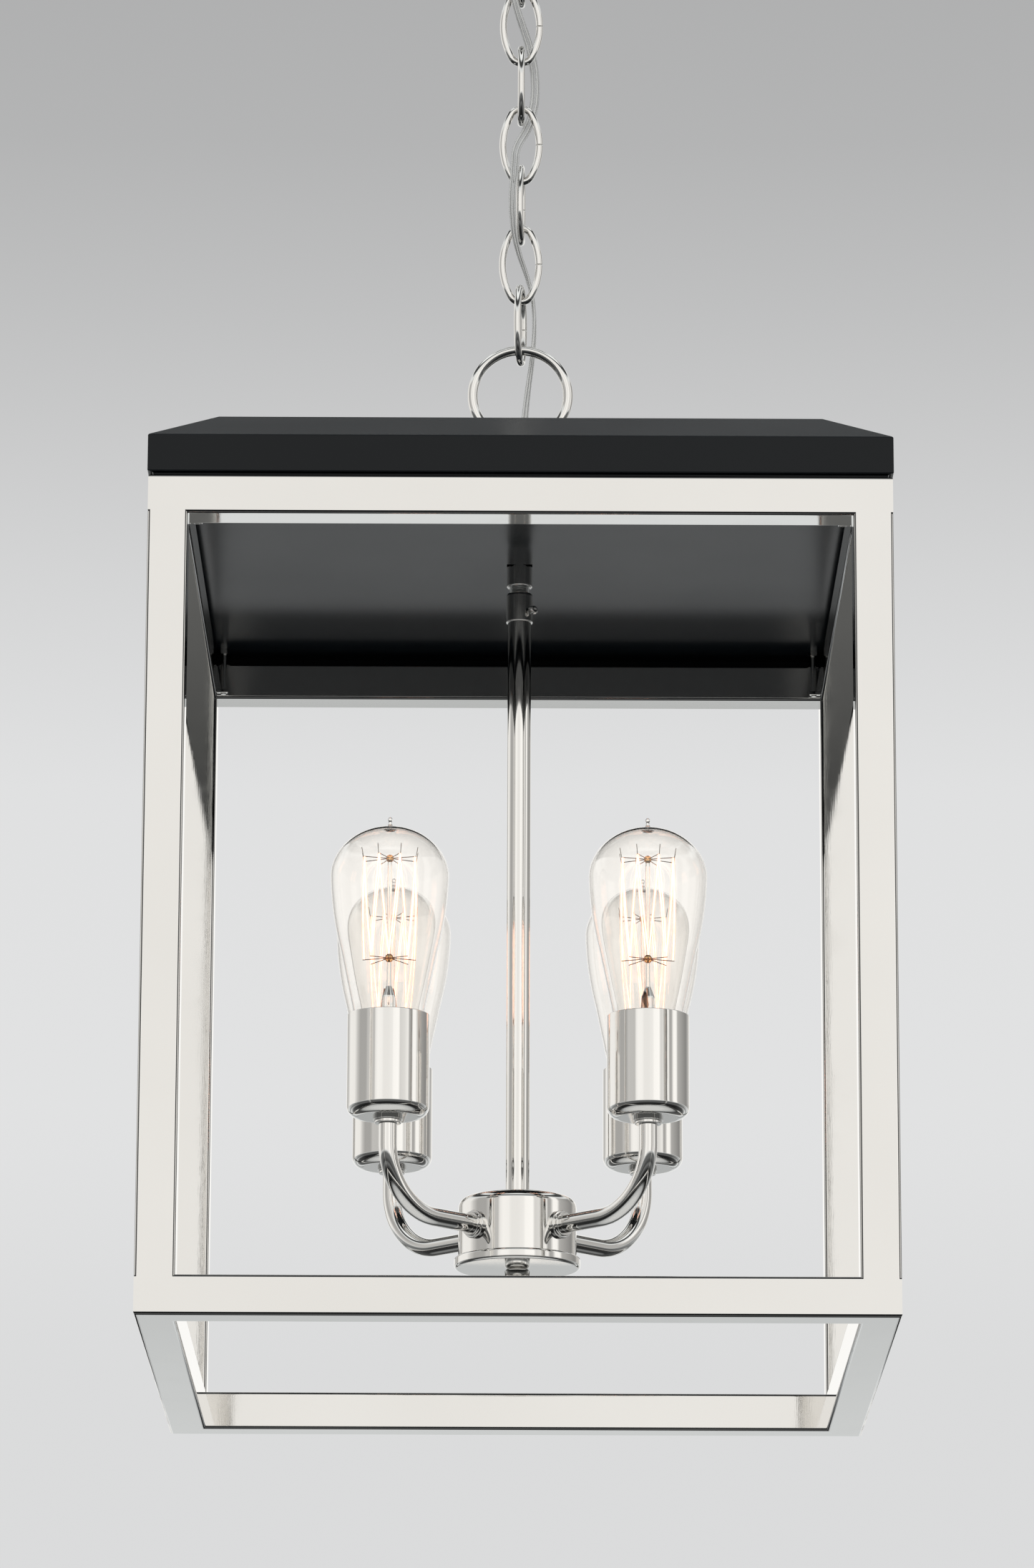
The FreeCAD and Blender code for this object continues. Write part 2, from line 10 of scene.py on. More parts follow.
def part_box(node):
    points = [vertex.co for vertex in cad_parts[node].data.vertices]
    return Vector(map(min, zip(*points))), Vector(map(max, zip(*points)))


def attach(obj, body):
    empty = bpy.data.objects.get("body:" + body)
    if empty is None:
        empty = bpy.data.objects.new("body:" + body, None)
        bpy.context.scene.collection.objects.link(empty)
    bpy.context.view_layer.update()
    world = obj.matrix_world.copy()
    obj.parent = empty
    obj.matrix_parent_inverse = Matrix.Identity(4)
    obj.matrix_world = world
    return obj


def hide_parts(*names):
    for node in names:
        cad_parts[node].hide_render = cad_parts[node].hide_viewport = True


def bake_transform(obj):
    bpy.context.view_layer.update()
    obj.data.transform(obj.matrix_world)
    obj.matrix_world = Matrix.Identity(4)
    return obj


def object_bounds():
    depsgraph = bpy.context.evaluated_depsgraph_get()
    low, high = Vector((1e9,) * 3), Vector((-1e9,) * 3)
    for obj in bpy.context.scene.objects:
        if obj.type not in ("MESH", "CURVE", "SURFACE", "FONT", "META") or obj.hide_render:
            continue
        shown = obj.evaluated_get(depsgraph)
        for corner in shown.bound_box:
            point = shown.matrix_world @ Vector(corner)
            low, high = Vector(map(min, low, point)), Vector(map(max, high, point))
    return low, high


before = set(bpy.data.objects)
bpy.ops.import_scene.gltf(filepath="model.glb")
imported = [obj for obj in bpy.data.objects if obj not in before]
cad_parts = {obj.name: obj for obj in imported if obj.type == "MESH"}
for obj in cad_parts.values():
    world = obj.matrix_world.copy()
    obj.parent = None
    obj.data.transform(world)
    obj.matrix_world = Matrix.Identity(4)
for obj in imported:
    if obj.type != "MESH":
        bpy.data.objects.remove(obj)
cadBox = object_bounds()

scene = bpy.context.scene
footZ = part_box("bottom_rail_front")[0].z
mm = 0.001
squareSigns = np.array([(-1, -1), (1, -1), (1, 1), (-1, 1)], float)


def place(points):
    # Millimetres over the cage's foot to metres in the frame.
    return np.asarray(points, float) * mm + np.array([0.0, 0.0, footZ])


def sizeOf(node):
    # Low corner, high corner and centre of a CAD node, in millimetres over the cage's foot.
    low, high = (np.array(corner) - np.array([0.0, 0.0, footZ]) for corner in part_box(node))
    return low / mm, high / mm, (low + high) / 2 / mm


def gridFaces(rows, columns, closeRows=False, closeColumns=False, first=0):
    # Quads between neighbouring points of a rows by columns grid.
    r = np.arange(rows if closeRows else rows - 1)
    c = np.arange(columns if closeColumns else columns - 1)
    r, c = np.meshgrid(r, c, indexing="ij")
    nextR, nextC = (r + 1) % rows, (c + 1) % columns
    quads = np.stack([r * columns + c, r * columns + nextC, nextR * columns + nextC, nextR * columns + c], -1)
    return quads.reshape(-1, 4) + first


def gridPart(points, closeRows=False, closeColumns=False):
    rows, columns = points.shape[:2]
    return points.reshape(-1, 3), gridFaces(rows, columns, closeRows, closeColumns)


def joined(parts):
    # Several (points, quads) parts as one.
    points, faces, first = [], [], 0
    for partPoints, partFaces in parts:
        points.append(partPoints)
        faces.append(partFaces + first)
        first += len(partPoints)
    return np.concatenate(points), np.concatenate(faces)


def turnedZ(points, degrees):
    # Points turned about the Z axis.
    a = math.radians(degrees)
    turn = np.array([[math.cos(a), math.sin(a), 0], [-math.sin(a), math.cos(a), 0], [0, 0, 1]])
    return points @ turn


def filleted(corners, steps=7, support=0.12):
    # Outline through (r, z, radius) corners. Each corner becomes an arc that touches its two sides,
    # with one more point close before and after the arc, so that the flats keep their own normals.
    out = []
    corners = [np.array(c, float) for c in corners]
    for k, corner in enumerate(corners):
        point, radius = corner[:2], corner[2]
        if radius <= 0 or k in (0, len(corners) - 1):
            out.append(point[None])
            continue
        into = corners[k - 1][:2] - point
        away = corners[k + 1][:2] - point
        into, away = into / np.linalg.norm(into), away / np.linalg.norm(away)
        half = math.acos(np.clip(into @ away, -1, 1)) / 2
        back = radius / math.tan(half)
        middle = (into + away) / np.linalg.norm(into + away)
        centre = point + middle * radius / math.sin(half)
        first, last = point + into * back - centre, point + away * back - centre
        sweep = math.atan2(first[0] * last[1] - first[1] * last[0], first @ last)
        a = np.linspace(0, sweep, steps)[:, None]
        side = np.array([-first[1], first[0]])
        arc = centre + first * np.cos(a) + side * np.sin(a)
        out.append(np.vstack([arc[0] + into * support, arc, arc[-1] + away * support]))
    return np.vstack(out)


def turned(profile, sides=64, centre=(0, 0)):
    # Surface of revolution: a point of the profile at radius r and height z goes to
    # (r cos a, r sin a, z) for a all the way round.
    a = np.linspace(0, 2 * np.pi, sides, endpoint=False)
    r, z = profile[:, :1], profile[:, 1:2]
    points = np.stack([r * np.cos(a) + centre[0], r * np.sin(a) + centre[1], z + 0 * a], -1)
    return gridPart(points, closeColumns=True)


def tubeAlong(path, radius, sides=20, sideways=(0, 1, 0), closed=False, shape=None, twist=0.0, caps=False):
    # Section carried along a path: each ring is path + u (section x) + v (section y), where u is the
    # cross product of the sideways direction and the path's heading, and v the cross product of heading and u.
    if closed:
        heading = np.roll(path, -1, 0) - np.roll(path, 1, 0)
    else:
        heading = np.gradient(path, axis=0)
    heading /= np.linalg.norm(heading, axis=1, keepdims=True)
    u = np.cross(np.broadcast_to(np.array(sideways, float), path.shape), heading)
    u /= np.linalg.norm(u, axis=1, keepdims=True)
    v = np.cross(heading, u)
    if shape is None:
        a = np.linspace(0, 2 * np.pi, sides, endpoint=False)
        shape = np.stack([np.cos(a), np.sin(a)], -1)
    turn = np.broadcast_to(np.asarray(twist, float), (len(path),))[:, None]
    size = np.broadcast_to(np.asarray(radius, float), (len(path),))[:, None]
    x = (shape[:, 0] * np.cos(turn) - shape[:, 1] * np.sin(turn)) * size
    y = (shape[:, 0] * np.sin(turn) + shape[:, 1] * np.cos(turn)) * size
    points = path[:, None] + u[:, None] * x[..., None] + v[:, None] * y[..., None]
    if caps:
        points = np.concatenate([np.broadcast_to(path[0], points[:1].shape), points,
                                 np.broadcast_to(path[-1], points[:1].shape)])
    return gridPart(points, closeRows=closed, closeColumns=True)


def ball(centre, radius, rows=14, columns=20):
    # Sphere: latitude t and longitude a give (r sin t cos a, r sin t sin a, r cos t).
    t = np.linspace(0, np.pi, rows)[:, None]
    a = np.linspace(0, 2 * np.pi, columns, endpoint=False)
    points = np.stack([np.sin(t) * np.cos(a), np.sin(t) * np.sin(a), np.cos(t) + 0 * a], -1) * radius
    return gridPart(points + np.array(centre, float), closeColumns=True)


def smoothLine(points, steps=8):
    # Catmull-Rom line through the points: each span blends its four neighbours with cubic weights.
    p = np.asarray(points, float)
    p = np.vstack([2 * p[0] - p[1], p, 2 * p[-1] - p[-2]])
    t = np.linspace(0, 1, steps, endpoint=False)[None, :, None]
    a, b, c, d = (p[i:len(p) - 3 + i][:, None] for i in range(4))
    line = 0.5 * (2 * b + (c - a) * t + (2 * a - 5 * b + 4 * c - d) * t ** 2 + (3 * b - a - 3 * c + d) * t ** 3)
    return np.vstack([line.reshape(-1, p.shape[1]), p[-2]])


def addPiece(name, part, body, material, slotName, replaced=(), sharpest=38, merge=True, solid=True):
    # Make a piece from (points, quads) in millimetres over the cage's foot and put it on its body.
    points, faces = part
    mesh = bpy.data.meshes.new(name)
    mesh.from_pydata(place(points).tolist(), [], faces.tolist())
    if merge:
        work = bmesh.new()
        work.from_mesh(mesh)
        bmesh.ops.remove_doubles(work, verts=work.verts, dist=2e-7)
        if solid:
            bmesh.ops.recalc_face_normals(work, faces=work.faces)
        work.to_mesh(mesh)
        work.free()
    mesh.validate()
    mesh.shade_smooth()
    mesh.set_sharp_from_angle(angle=math.radians(sharpest))
    piece = bpy.data.objects.new(name, mesh)
    scene.collection.objects.link(piece)
    for each in (material if isinstance(material, (list, tuple)) else [material]):
        mesh.materials.append(each)
    if body:
        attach(piece, body)
    if replaced:
        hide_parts(*replaced)
    return piece


def newGroup(name, inputs, outputs):
    group = bpy.data.node_groups.new(name, "ShaderNodeTree")
    for title, kind, value in inputs:
        socket = group.interface.new_socket(title, in_out="INPUT", socket_type=kind)
        socket.default_value = value
    for title, kind in outputs:
        group.interface.new_socket(title, in_out="OUTPUT", socket_type=kind)
    return group, group.nodes.new("NodeGroupInput"), group.nodes.new("NodeGroupOutput")


def adder(tree):
    # A function that adds a shader node with the given input values, and the tree's own linker.
    def add(kind, **values):
        made = tree.nodes.new("ShaderNode" + kind)
        for title, value in values.items():
            made.inputs[title.replace("_", " ")].default_value = value
        return made

    return add, tree.links.new


def colourMix(add, link, factor, first, second, blend="MIX"):
    # Colour between the first and the second by the factor; the colour sockets of this node are 6 and 7, and 2 out.
    mix = add("Mix")
    mix.data_type = "RGBA"
    mix.blend_type = blend
    link(factor, mix.inputs["Factor"])
    link(first, mix.inputs[6])
    link(second, mix.inputs[7])
    return mix.outputs[2]


def endGroup(add, link, ends, patterns, titles, distance):
    # Colour and roughness, each mixed between two of the group's inputs by a pattern, and a bump from the last one.
    inside, out = ends
    given = [inside.outputs[title] for title in titles]
    colour, rough, height = patterns
    link(colourMix(add, link, colour, given[0], given[1]), out.inputs["Color"])
    mix = add("Mix")
    link(rough, mix.inputs["Factor"])
    link(given[2], mix.inputs[2])
    link(given[3], mix.inputs[3])
    link(mix.outputs[0], out.inputs["Roughness"])
    bump = add("Bump", Distance=distance)
    link(given[4], bump.inputs["Strength"])
    link(height, bump.inputs["Height"])
    link(bump.outputs["Normal"], out.inputs["Normal"])


surfaceOutputs = [("Color", "NodeSocketColor"), ("Roughness", "NodeSocketFloat"), ("Normal", "NodeSocketVector")]


def makePolishGroup():
    # Polished plate: soft clouding of the tint, smears in the roughness and hairline scratches.
    group, *ends = newGroup("platePolish", [
        ("Bright", "NodeSocketColor", (0.8, 0.78, 0.75, 1)), ("Dull", "NodeSocketColor", (0.7, 0.68, 0.65, 1)),
        ("Smooth", "NodeSocketFloat", 0.03), ("Smeared", "NodeSocketFloat", 0.12),
        ("Scratches", "NodeSocketFloat", 0.05)], surfaceOutputs)
    add, link = adder(group)
    coords = add("TexCoord").outputs["Object"]
    cloud = add("TexNoise", Scale=9.0, Detail=4.0)
    smear = add("TexNoise", Scale=38.0, Detail=6.0, Distortion=0.6)
    stretch = add("Mapping", Scale=(2600.0, 2600.0, 90.0))
    hair = add("TexNoise", Scale=1.0, Detail=2.0)
    sharper = add("MapRange", From_Min=0.42, From_Max=0.78)
    for pattern in (cloud, smear, stretch):
        link(coords, pattern.inputs["Vector"])
    link(stretch.outputs["Vector"], hair.inputs["Vector"])
    link(smear.outputs["Fac"], sharper.inputs["Value"])
    endGroup(add, link, ends, (cloud.outputs["Fac"], sharper.outputs["Result"], hair.outputs["Fac"]),
             ("Dull", "Bright", "Smooth", "Smeared", "Scratches"), 0.00004)
    return group


def makeGrainGroup():
    # Fine even grain, as on powder coat, moulded plastic or plated castings: a fine noise in the height, and a slow
    # drift between two colours and two roughnesses.
    group, *ends = newGroup("fineGrain", [
        ("Base", "NodeSocketColor", (0.02, 0.02, 0.02, 1)), ("Worn", "NodeSocketColor", (0.05, 0.05, 0.05, 1)),
        ("Grain", "NodeSocketFloat", 1400.0), ("Depth", "NodeSocketFloat", 0.25),
        ("Rough Low", "NodeSocketFloat", 0.3), ("Rough High", "NodeSocketFloat", 0.45)], surfaceOutputs)
    add, link = adder(group)
    coords = add("TexCoord").outputs["Object"]
    grain = add("TexNoise", Detail=3.0, Roughness=0.6)
    drift = add("TexNoise", Scale=14.0, Detail=5.0)
    link(coords, grain.inputs["Vector"])
    link(coords, drift.inputs["Vector"])
    link(ends[0].outputs["Grain"], grain.inputs["Scale"])
    slow = drift.outputs["Fac"]
    endGroup(add, link, ends, (slow, slow, grain.outputs["Fac"]),
             ("Base", "Worn", "Rough Low", "Rough High", "Depth"), 0.00008)
    return group


platePolish = makePolishGroup()
fineGrain = makeGrainGroup()
print("shader groups made")


def newMaterial(name, group=None, values=None, **settings):
    # Principled material; group values go to the group's sockets and settings to the shader's own sockets.
    material = bpy.data.materials.new(name)
    material.use_nodes = True
    tree = material.node_tree
    shader = tree.nodes["Principled BSDF"]
    for title, value in settings.items():
        shader.inputs[title.replace("_", " ")].default_value = value
    if group:
        effect = tree.nodes.new("ShaderNodeGroup")
        effect.node_tree = group
        for title, value in (values or {}).items():
            effect.inputs[title].default_value = value
        tree.links.new(effect.outputs["Color"], shader.inputs["Base Color"])
        tree.links.new(effect.outputs["Roughness"], shader.inputs["Roughness"])
        tree.links.new(effect.outputs["Normal"], shader.inputs["Normal"])
    return material


def plated(name, bright, dull, smooth, smeared, scratches):
    look = {"Bright": bright + (1,), "Dull": dull + (1,), "Smooth": smooth, "Smeared": smeared,
            "Scratches": scratches}
    return newMaterial(name, platePolish, look, Metallic=1.0)


def grained(name, base, secondTone, grain, depth, rough, **settings):
    look = {"Base": base + (1,), "Worn": secondTone + (1,), "Grain": grain, "Depth": depth,
            "Rough Low": rough[0], "Rough High": rough[1]}
    return newMaterial(name, fineGrain, look, **settings)


def clearGlass(name, tint):
    return newMaterial(name, Base_Color=tint + (1,), Roughness=0.0, IOR=1.47, Transmission_Weight=1.0)


def hotWire():
    # Lit wire: its light drifts between a warm and a nearly white tint with noise.
    material = newMaterial("hotWire", Base_Color=(1.0, 0.45, 0.12, 1), Roughness=0.6, Emission_Strength=1.9)
    tree = material.node_tree
    add, link = adder(tree)
    noise, ramp = add("TexNoise", Scale=160.0), add("ValToRGB")
    tints = ((0.30, (1.0, 0.62, 0.50, 1)), (0.62, (1.0, 0.84, 0.74, 1)))
    for stop, (at, tint) in zip(ramp.color_ramp.elements, tints):
        stop.position, stop.color = at, tint
    link(add("TexCoord").outputs["Object"], noise.inputs["Vector"])
    link(noise.outputs["Fac"], ramp.inputs["Fac"])
    link(ramp.outputs["Color"], tree.nodes["Principled BSDF"].inputs["Emission Color"])
    return material


def warmHalo():
    # Painted glare: a soft bloom close round each lit wire, which glows though it is no lamp: mostly clear, a little
    # orange light.
    return newMaterial("warmHalo", Base_Color=(1.0, 0.6, 0.42, 1), Roughness=1.0, Alpha=0.12,
                       Specular_IOR_Level=0.0, Emission_Color=(1.0, 0.50, 0.34, 1), Emission_Strength=1.3)


def tinnedStrands():
    # Tinned strands seen through the vinyl: bright and dark lines that wind round, from a wave on the strand's map;
    # they are painted highlight and painted shade of the twisted strands.
    material = newMaterial("tinnedStrands", Metallic=0.35, Roughness=0.38, Emission_Strength=0.40)
    tree = material.node_tree
    add, link = adder(tree)
    lay = add("UVMap")
    lay.uv_map = "lay"
    wave = add("TexWave", Scale=0.9, Distortion=1.2)
    wave.wave_type = "BANDS"
    wave.bands_direction = "X"
    ramp = add("ValToRGB")
    ramp.color_ramp.elements[0].color = (0.20, 0.20, 0.195, 1)
    ramp.color_ramp.elements[1].color = (0.86, 0.86, 0.84, 1)
    bump = add("Bump", Distance=0.0001, Strength=0.6)
    link(lay.outputs["UV"], wave.inputs["Vector"])
    link(wave.outputs["Fac"], ramp.inputs["Fac"])
    link(wave.outputs["Fac"], bump.inputs["Height"])
    shader = tree.nodes["Principled BSDF"].inputs
    # painted light: the strands glow, in the same bright and dark lines, in place of the light that the clear vinyl
    # gathers and throws on them
    for title in ("Base Color", "Emission Color"):
        link(ramp.outputs["Color"], shader[title])
    link(bump.outputs["Normal"], shader["Normal"])
    return material


nickel = plated("polishedNickel", (0.87, 0.855, 0.83), (0.80, 0.785, 0.76), 0.025, 0.085, 0.05)
# the same plate made much darker on strips of a tube's rounded corner: a painted dark reflection along the corner
cornerReflectionNickel = plated("paintedCornerReflection", (0.13, 0.13, 0.13), (0.07, 0.07, 0.07), 0.04, 0.12, 0.08)
powder = grained("blackPowderCoat", (0.0055, 0.0075, 0.0098), (0.0085, 0.0115, 0.0145), 1500.0, 0.12, (0.19, 0.25),
                 Specular_IOR_Level=0.22)
glass = clearGlass("clearGlass", (1.0, 0.988, 0.972))
mountGlass = clearGlass("mountGlass", (0.97, 0.98, 0.97))
filamentWire = hotWire()
halo = warmHalo()
hooks = grained("hookWire", (0.20, 0.17, 0.14), (0.34, 0.26, 0.18), 3000.0, 0.1, (0.25, 0.4), Metallic=1.0)
copper = plated("copperLead", (0.90, 0.50, 0.32), (0.62, 0.30, 0.18), 0.18, 0.35, 0.2)
lampMetal = grained("platedCap", (0.66, 0.63, 0.56), (0.76, 0.73, 0.66), 900.0, 0.2, (0.18, 0.32), Metallic=1.0)
phenolic = grained("mouldedPhenolic", (0.030, 0.027, 0.025), (0.055, 0.048, 0.042), 500.0, 0.3, (0.28, 0.42))
zinc = grained("zincSteel", (0.52, 0.53, 0.53), (0.68, 0.68, 0.66), 260.0, 0.25, (0.22, 0.38), Metallic=1.0)
vinyl = newMaterial("clearVinyl", Base_Color=(0.80, 0.81, 0.81, 1), Roughness=0.10, IOR=1.5, Alpha=0.42)
strands = tinnedStrands()
amber = clearGlass("amberBead", (0.95, 0.62, 0.30))
print("materials made")


def makeCamera():
    # Low in front of the lantern and tilted up; cage widths are the unit of its place.
    view = {"at": (-0.0170, -8.9588, -1.4818), "pan": 0.0016, "tilt": 0.2540, "roll": 0.0035, "lens": 151.2}
    low, high, _ = sizeOf("bottom_rail_front")
    cageWidth = (high[0] - low[0]) * mm
    pan, tilt, roll = view["pan"], view["tilt"], view["roll"]
    ahead = Vector((math.sin(pan) * math.cos(tilt), math.cos(pan) * math.cos(tilt), math.sin(tilt)))
    flatRight = Vector((math.cos(pan), -math.sin(pan), 0))
    flatUp = flatRight.cross(ahead)
    right = flatRight * math.cos(roll) + flatUp * math.sin(roll)
    upward = flatUp * math.cos(roll) - flatRight * math.sin(roll)
    lens = bpy.data.cameras.new("camera")
    lens.lens = view["lens"]
    lens.sensor_width = 36.0
    lens.clip_end = 60.0
    camera = bpy.data.objects.new("camera", lens)
    scene.collection.objects.link(camera)
    turn = Matrix((right, upward, -ahead)).transposed().to_4x4()
    at = Vector(view["at"]) * cageWidth + Vector((0, 0, footZ))
    camera.matrix_world = Matrix.Translation(at) @ turn
    scene.camera = camera


makeCamera()
print("camera made")


cord = {
    "route": [
        (0.0, 15.0, 430.0), (0.0, 14.6, 452.0), (1.0, 11.0, 478.0), (3.4, 8.0, 506.0), (6.8, 7.0, 530.0),
        (7.4, 6.4, 550.0), (4.6, 6.4, 566.0), (-2.9, -5.8, 583.0), (-4.8, -12.6, 603.0), (-3.2, -9.6, 622.0),
        (-2.9, -6.6, 635.0), (4.6, 6.2, 651.0), (8.0, 7.6, 671.0), (5.4, 6.8, 692.0), (-3.2, -6.2, 712.0),
        (-6.8, -9.0, 732.0), (-5.0, -5.4, 750.0), (-1.2, -0.9, 766.0), (0.0, 0.0, 782.0), (0.2, 0.0, 798.0)],
    "width": 4.8, "lobe": 1.25, "spread": 1.15, "core": 0.62,   # two lobes side by side, each round a strand
    "ring": 0.8,                                                # length of one step along the cord
    "twists": 1.6}


def cordLine():
    # The route's own NURBS spline, as evenly spaced points in millimetres over the cage's foot.
    curve = bpy.data.curves.new("cordRoute", "CURVE")
    curve.dimensions = "3D"
    curve.resolution_u = 24
    spline = curve.splines.new("NURBS")
    route = place(cord["route"])
    spline.points.add(len(route) - 1)
    spline.points.foreach_set("co", np.hstack([route, np.ones((len(route), 1))]).ravel())
    spline.order_u = 3
    spline.use_endpoint_u = True
    holder = bpy.data.objects.new("cordRoute", curve)
    scene.collection.objects.link(holder)
    bpy.context.view_layer.update()
    mesh = bpy.data.meshes.new_from_object(holder)
    points = np.empty(len(mesh.vertices) * 3)
    mesh.vertices.foreach_get("co", points)
    points = (points.reshape(-1, 3) - np.array([0, 0, footZ])) / mm
    bpy.data.objects.remove(holder)
    bpy.data.meshes.remove(mesh)
    along = np.r_[0, np.cumsum(np.linalg.norm(np.diff(points, axis=0), axis=1))]
    even = np.arange(0, along[-1], cord["ring"])
    return np.stack([np.interp(even, along, points[:, k]) for k in range(3)], -1)


def twinSection():
    # Figure of eight: radius of lobe about each of two centres, joined by a shallow waist.
    a = np.linspace(0, 2 * np.pi, 28, endpoint=False)
    reach = cord["spread"] * np.abs(np.cos(a)) ** 0.8 + cord["lobe"]
    waist = 1 - 0.16 * np.exp(-((np.abs(np.cos(a))) / 0.32) ** 2)
    return np.stack([np.cos(a) * reach, np.sin(a) * cord["lobe"] * 1.04 * waist], -1)


def makeCord(bodies, pivots, middles):
    # One length of cord per hinge, cut half-way up each link.
    line = cordLine()
    heights = line[:, 2]
    turns = np.linspace(0, cord["twists"] * np.pi, len(line))
    cuts = [0] + [int(np.argmin(np.abs(heights - m))) for m in middles] + [len(line) - 1]
    for k, (lower, upper) in enumerate(zip(bodies, bodies[1:])):
        first, last = cuts[k], cuts[k + 1]
        span = line[first:last + 1]
        twist = turns[first:last + 1]
        outside = tubeAlong(span, 1.0, sideways=(0, 1, 0.2), shape=twinSection(), twist=twist)
        wires = [tubeAlong(span, 1.0, sideways=(0, 1, 0.2), shape=strandSection(side), twist=twist)
                 for side in (-1, 1)]
        piece = addPiece("supply_cord_%d" % (k + 1), joined([outside] + wires), None, [vinyl, strands],
                         "clear_cord", ["supply_cord"], merge=False)
        layStrands(piece, outside, len(span), first)
        low, high = place([[0, 0, pivots[k] - 9], [0, 0, pivots[k] + 9]])
        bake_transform(piece)
        path = place(span)
    print("cord made in", len(bodies) - 1, "lengths")


def strandSection(side):
    # round strand inside one lobe, ten points round
    a = np.linspace(0, 2 * np.pi, 10, endpoint=False)
    return np.stack([np.cos(a) * cord["core"] + side * (cord["spread"] + 0.05), np.sin(a) * cord["core"]], -1)


def layStrands(piece, outside, rows, first):
    # the two strands come after the vinyl: second material, and a map whose u goes once round a strand and whose
    # v is the way along it over 6 mm; a face that closes the round takes 10 for its last column
    mesh = piece.data
    slots = (np.arange(len(mesh.polygons)) >= len(outside[1])).astype(np.int32)
    mesh.polygons.foreach_set("material_index", slots)
    corner = np.empty(len(mesh.loops), np.int32)
    mesh.loops.foreach_get("vertex_index", corner)
    corner = corner.reshape(-1, 4) - len(outside[0])
    column, row = corner % 10, (corner // 10) % rows
    column = np.where((column == 0) & (column.max(1, keepdims=True) == 9), 10, column)
    lay = np.stack([column / 10.0, (row + first) * cord["ring"] / 6.0], -1)
    mesh.uv_layers.new(name="lay").data.foreach_set("uv", lay.ravel())


linkBoxes = [sizeOf("chain_link_%d" % k) for k in range(1, 8)]
linkSize = linkBoxes[1][1] - linkBoxes[1][0]
chain = {"wire": linkSize[1], "halfLength": linkSize[2] / 2, "halfWidth": linkSize[0] / 2, "endRadius": 5.7,
         "cut": 0.5, "lean": {1: 10.0, 3: 4.0}}   # degrees by which the first and third links lean
ringLow, ringHigh, ringCentre = sizeOf("hang_ring")
ringWire = (ringHigh - ringLow)[1]
ringR = (ringHigh - ringLow)[0] / 2 - ringWire / 2
linkLow = [box[0][2] + chain["wire"] / 2 for box in linkBoxes]
eyeLow = sizeOf("canopy_loop")[0][2] + 2.0
makeCord(["lantern", "ring"] + ["link_%d" % k for k in range(1, 8)] + ["canopy"],
         [ringLow[2] + ringWire / 2] + linkLow + [eyeLow],
         [ringCentre[2]] + [box[2][2] for box in linkBoxes])


def squareSection(side, corner, support=0.25):
    # Rounded square: four quarter arcs, with a point on the flat just beyond each end of an arc.
    flat = side / 2 - corner
    a = np.radians(cage["arc"])
    arc = np.stack([flat + corner * np.cos(a), flat + corner * np.sin(a)], -1)
    arc = np.vstack([[flat + corner, flat - support], arc, [flat - support, flat + corner]])
    turns = [np.array([[c, s], [-s, c]]) for c, s in ((1, 0), (0, 1), (-1, 0), (0, -1))]
    return np.vstack([arc @ turn for turn in turns])


cage = {"corner": 1.5, "arc": (0, 11, 33, 57, 79, 90), "postReflectionStrips": (2, 4),
        "railReflectionStrips": (2, 3, 4)}   # degrees round a corner, and which of its strips take the painted dark reflection


def paintCornerReflections(piece, secondTone):
    # column of a face along the section, eight to a corner: the listed strips of each arc take the second material, a
    # painted dark reflection along the corner
    column = np.arange(len(piece.data.polygons)) % 8
    piece.data.polygons.foreach_set("material_index", np.isin(column, secondTone).astype(np.int32))


def makeCage():
    low, high, _ = sizeOf("post_front_left")
    tube = high[0] - low[0]
    half = -low[0]
    section = squareSection(tube, cage["corner"])
    for ringName in ("bottom", "top"):
        nodes = ["%s_rail_%s" % (ringName, side) for side in ("front", "right", "back", "left")]
        middle = sizeOf(nodes[0])[2][2]
        # a section point d outwards and h up sits at both mitred corners of a side: c + d times the corner's signs
        reach = (half - tube / 2) + section[:, 0]
        points = np.concatenate([squareSigns[:, None] * reach[:, None],
                                 np.broadcast_to(middle + section[:, 1], (4, len(section)))[..., None]], -1)
        ring = addPiece("cage_%s_ring" % ringName, gridPart(points, True, True), "lantern",
                        [nickel, cornerReflectionNickel], "polished_nickel", nodes)
        # the rails' rounded corners take a painted dark reflection
        paintCornerReflections(ring, cage["railReflectionStrips"])
    for name in ("front_left", "front_right", "back_right", "back_left"):
        node = "post_" + name
        low, high, centre = sizeOf(node)
        # the welded ends run on over the rounded edges of both rails, so that the faces are continuous
        over = cage["corner"]
        heights = np.array([low[2] - over, low[2] + 1.0, high[2] - 1.0, high[2] + over])
        points = np.concatenate([np.broadcast_to(section + centre[:2], (4,) + section.shape),
                                 np.broadcast_to(heights[:, None, None], (4, len(section), 1))], -1)
        post = addPiece("cage_" + node, gridPart(points, closeColumns=True), "lantern",
                        [nickel, cornerReflectionNickel], "polished_nickel", [node])
        # the posts' rounded corners take a painted dark reflection
        paintCornerReflections(post, cage["postReflectionStrips"])
    print("cage made")

def squareRing(profile):
    # Profile of (half width, z) carried round a square: each point goes to the square's four corners.
    points = np.concatenate([profile[:, None, :1] * squareSigns[None],
                             np.broadcast_to(profile[:, None, 1:], (len(profile), 4, 1))], -1)
    return gridPart(points, closeColumns=True)


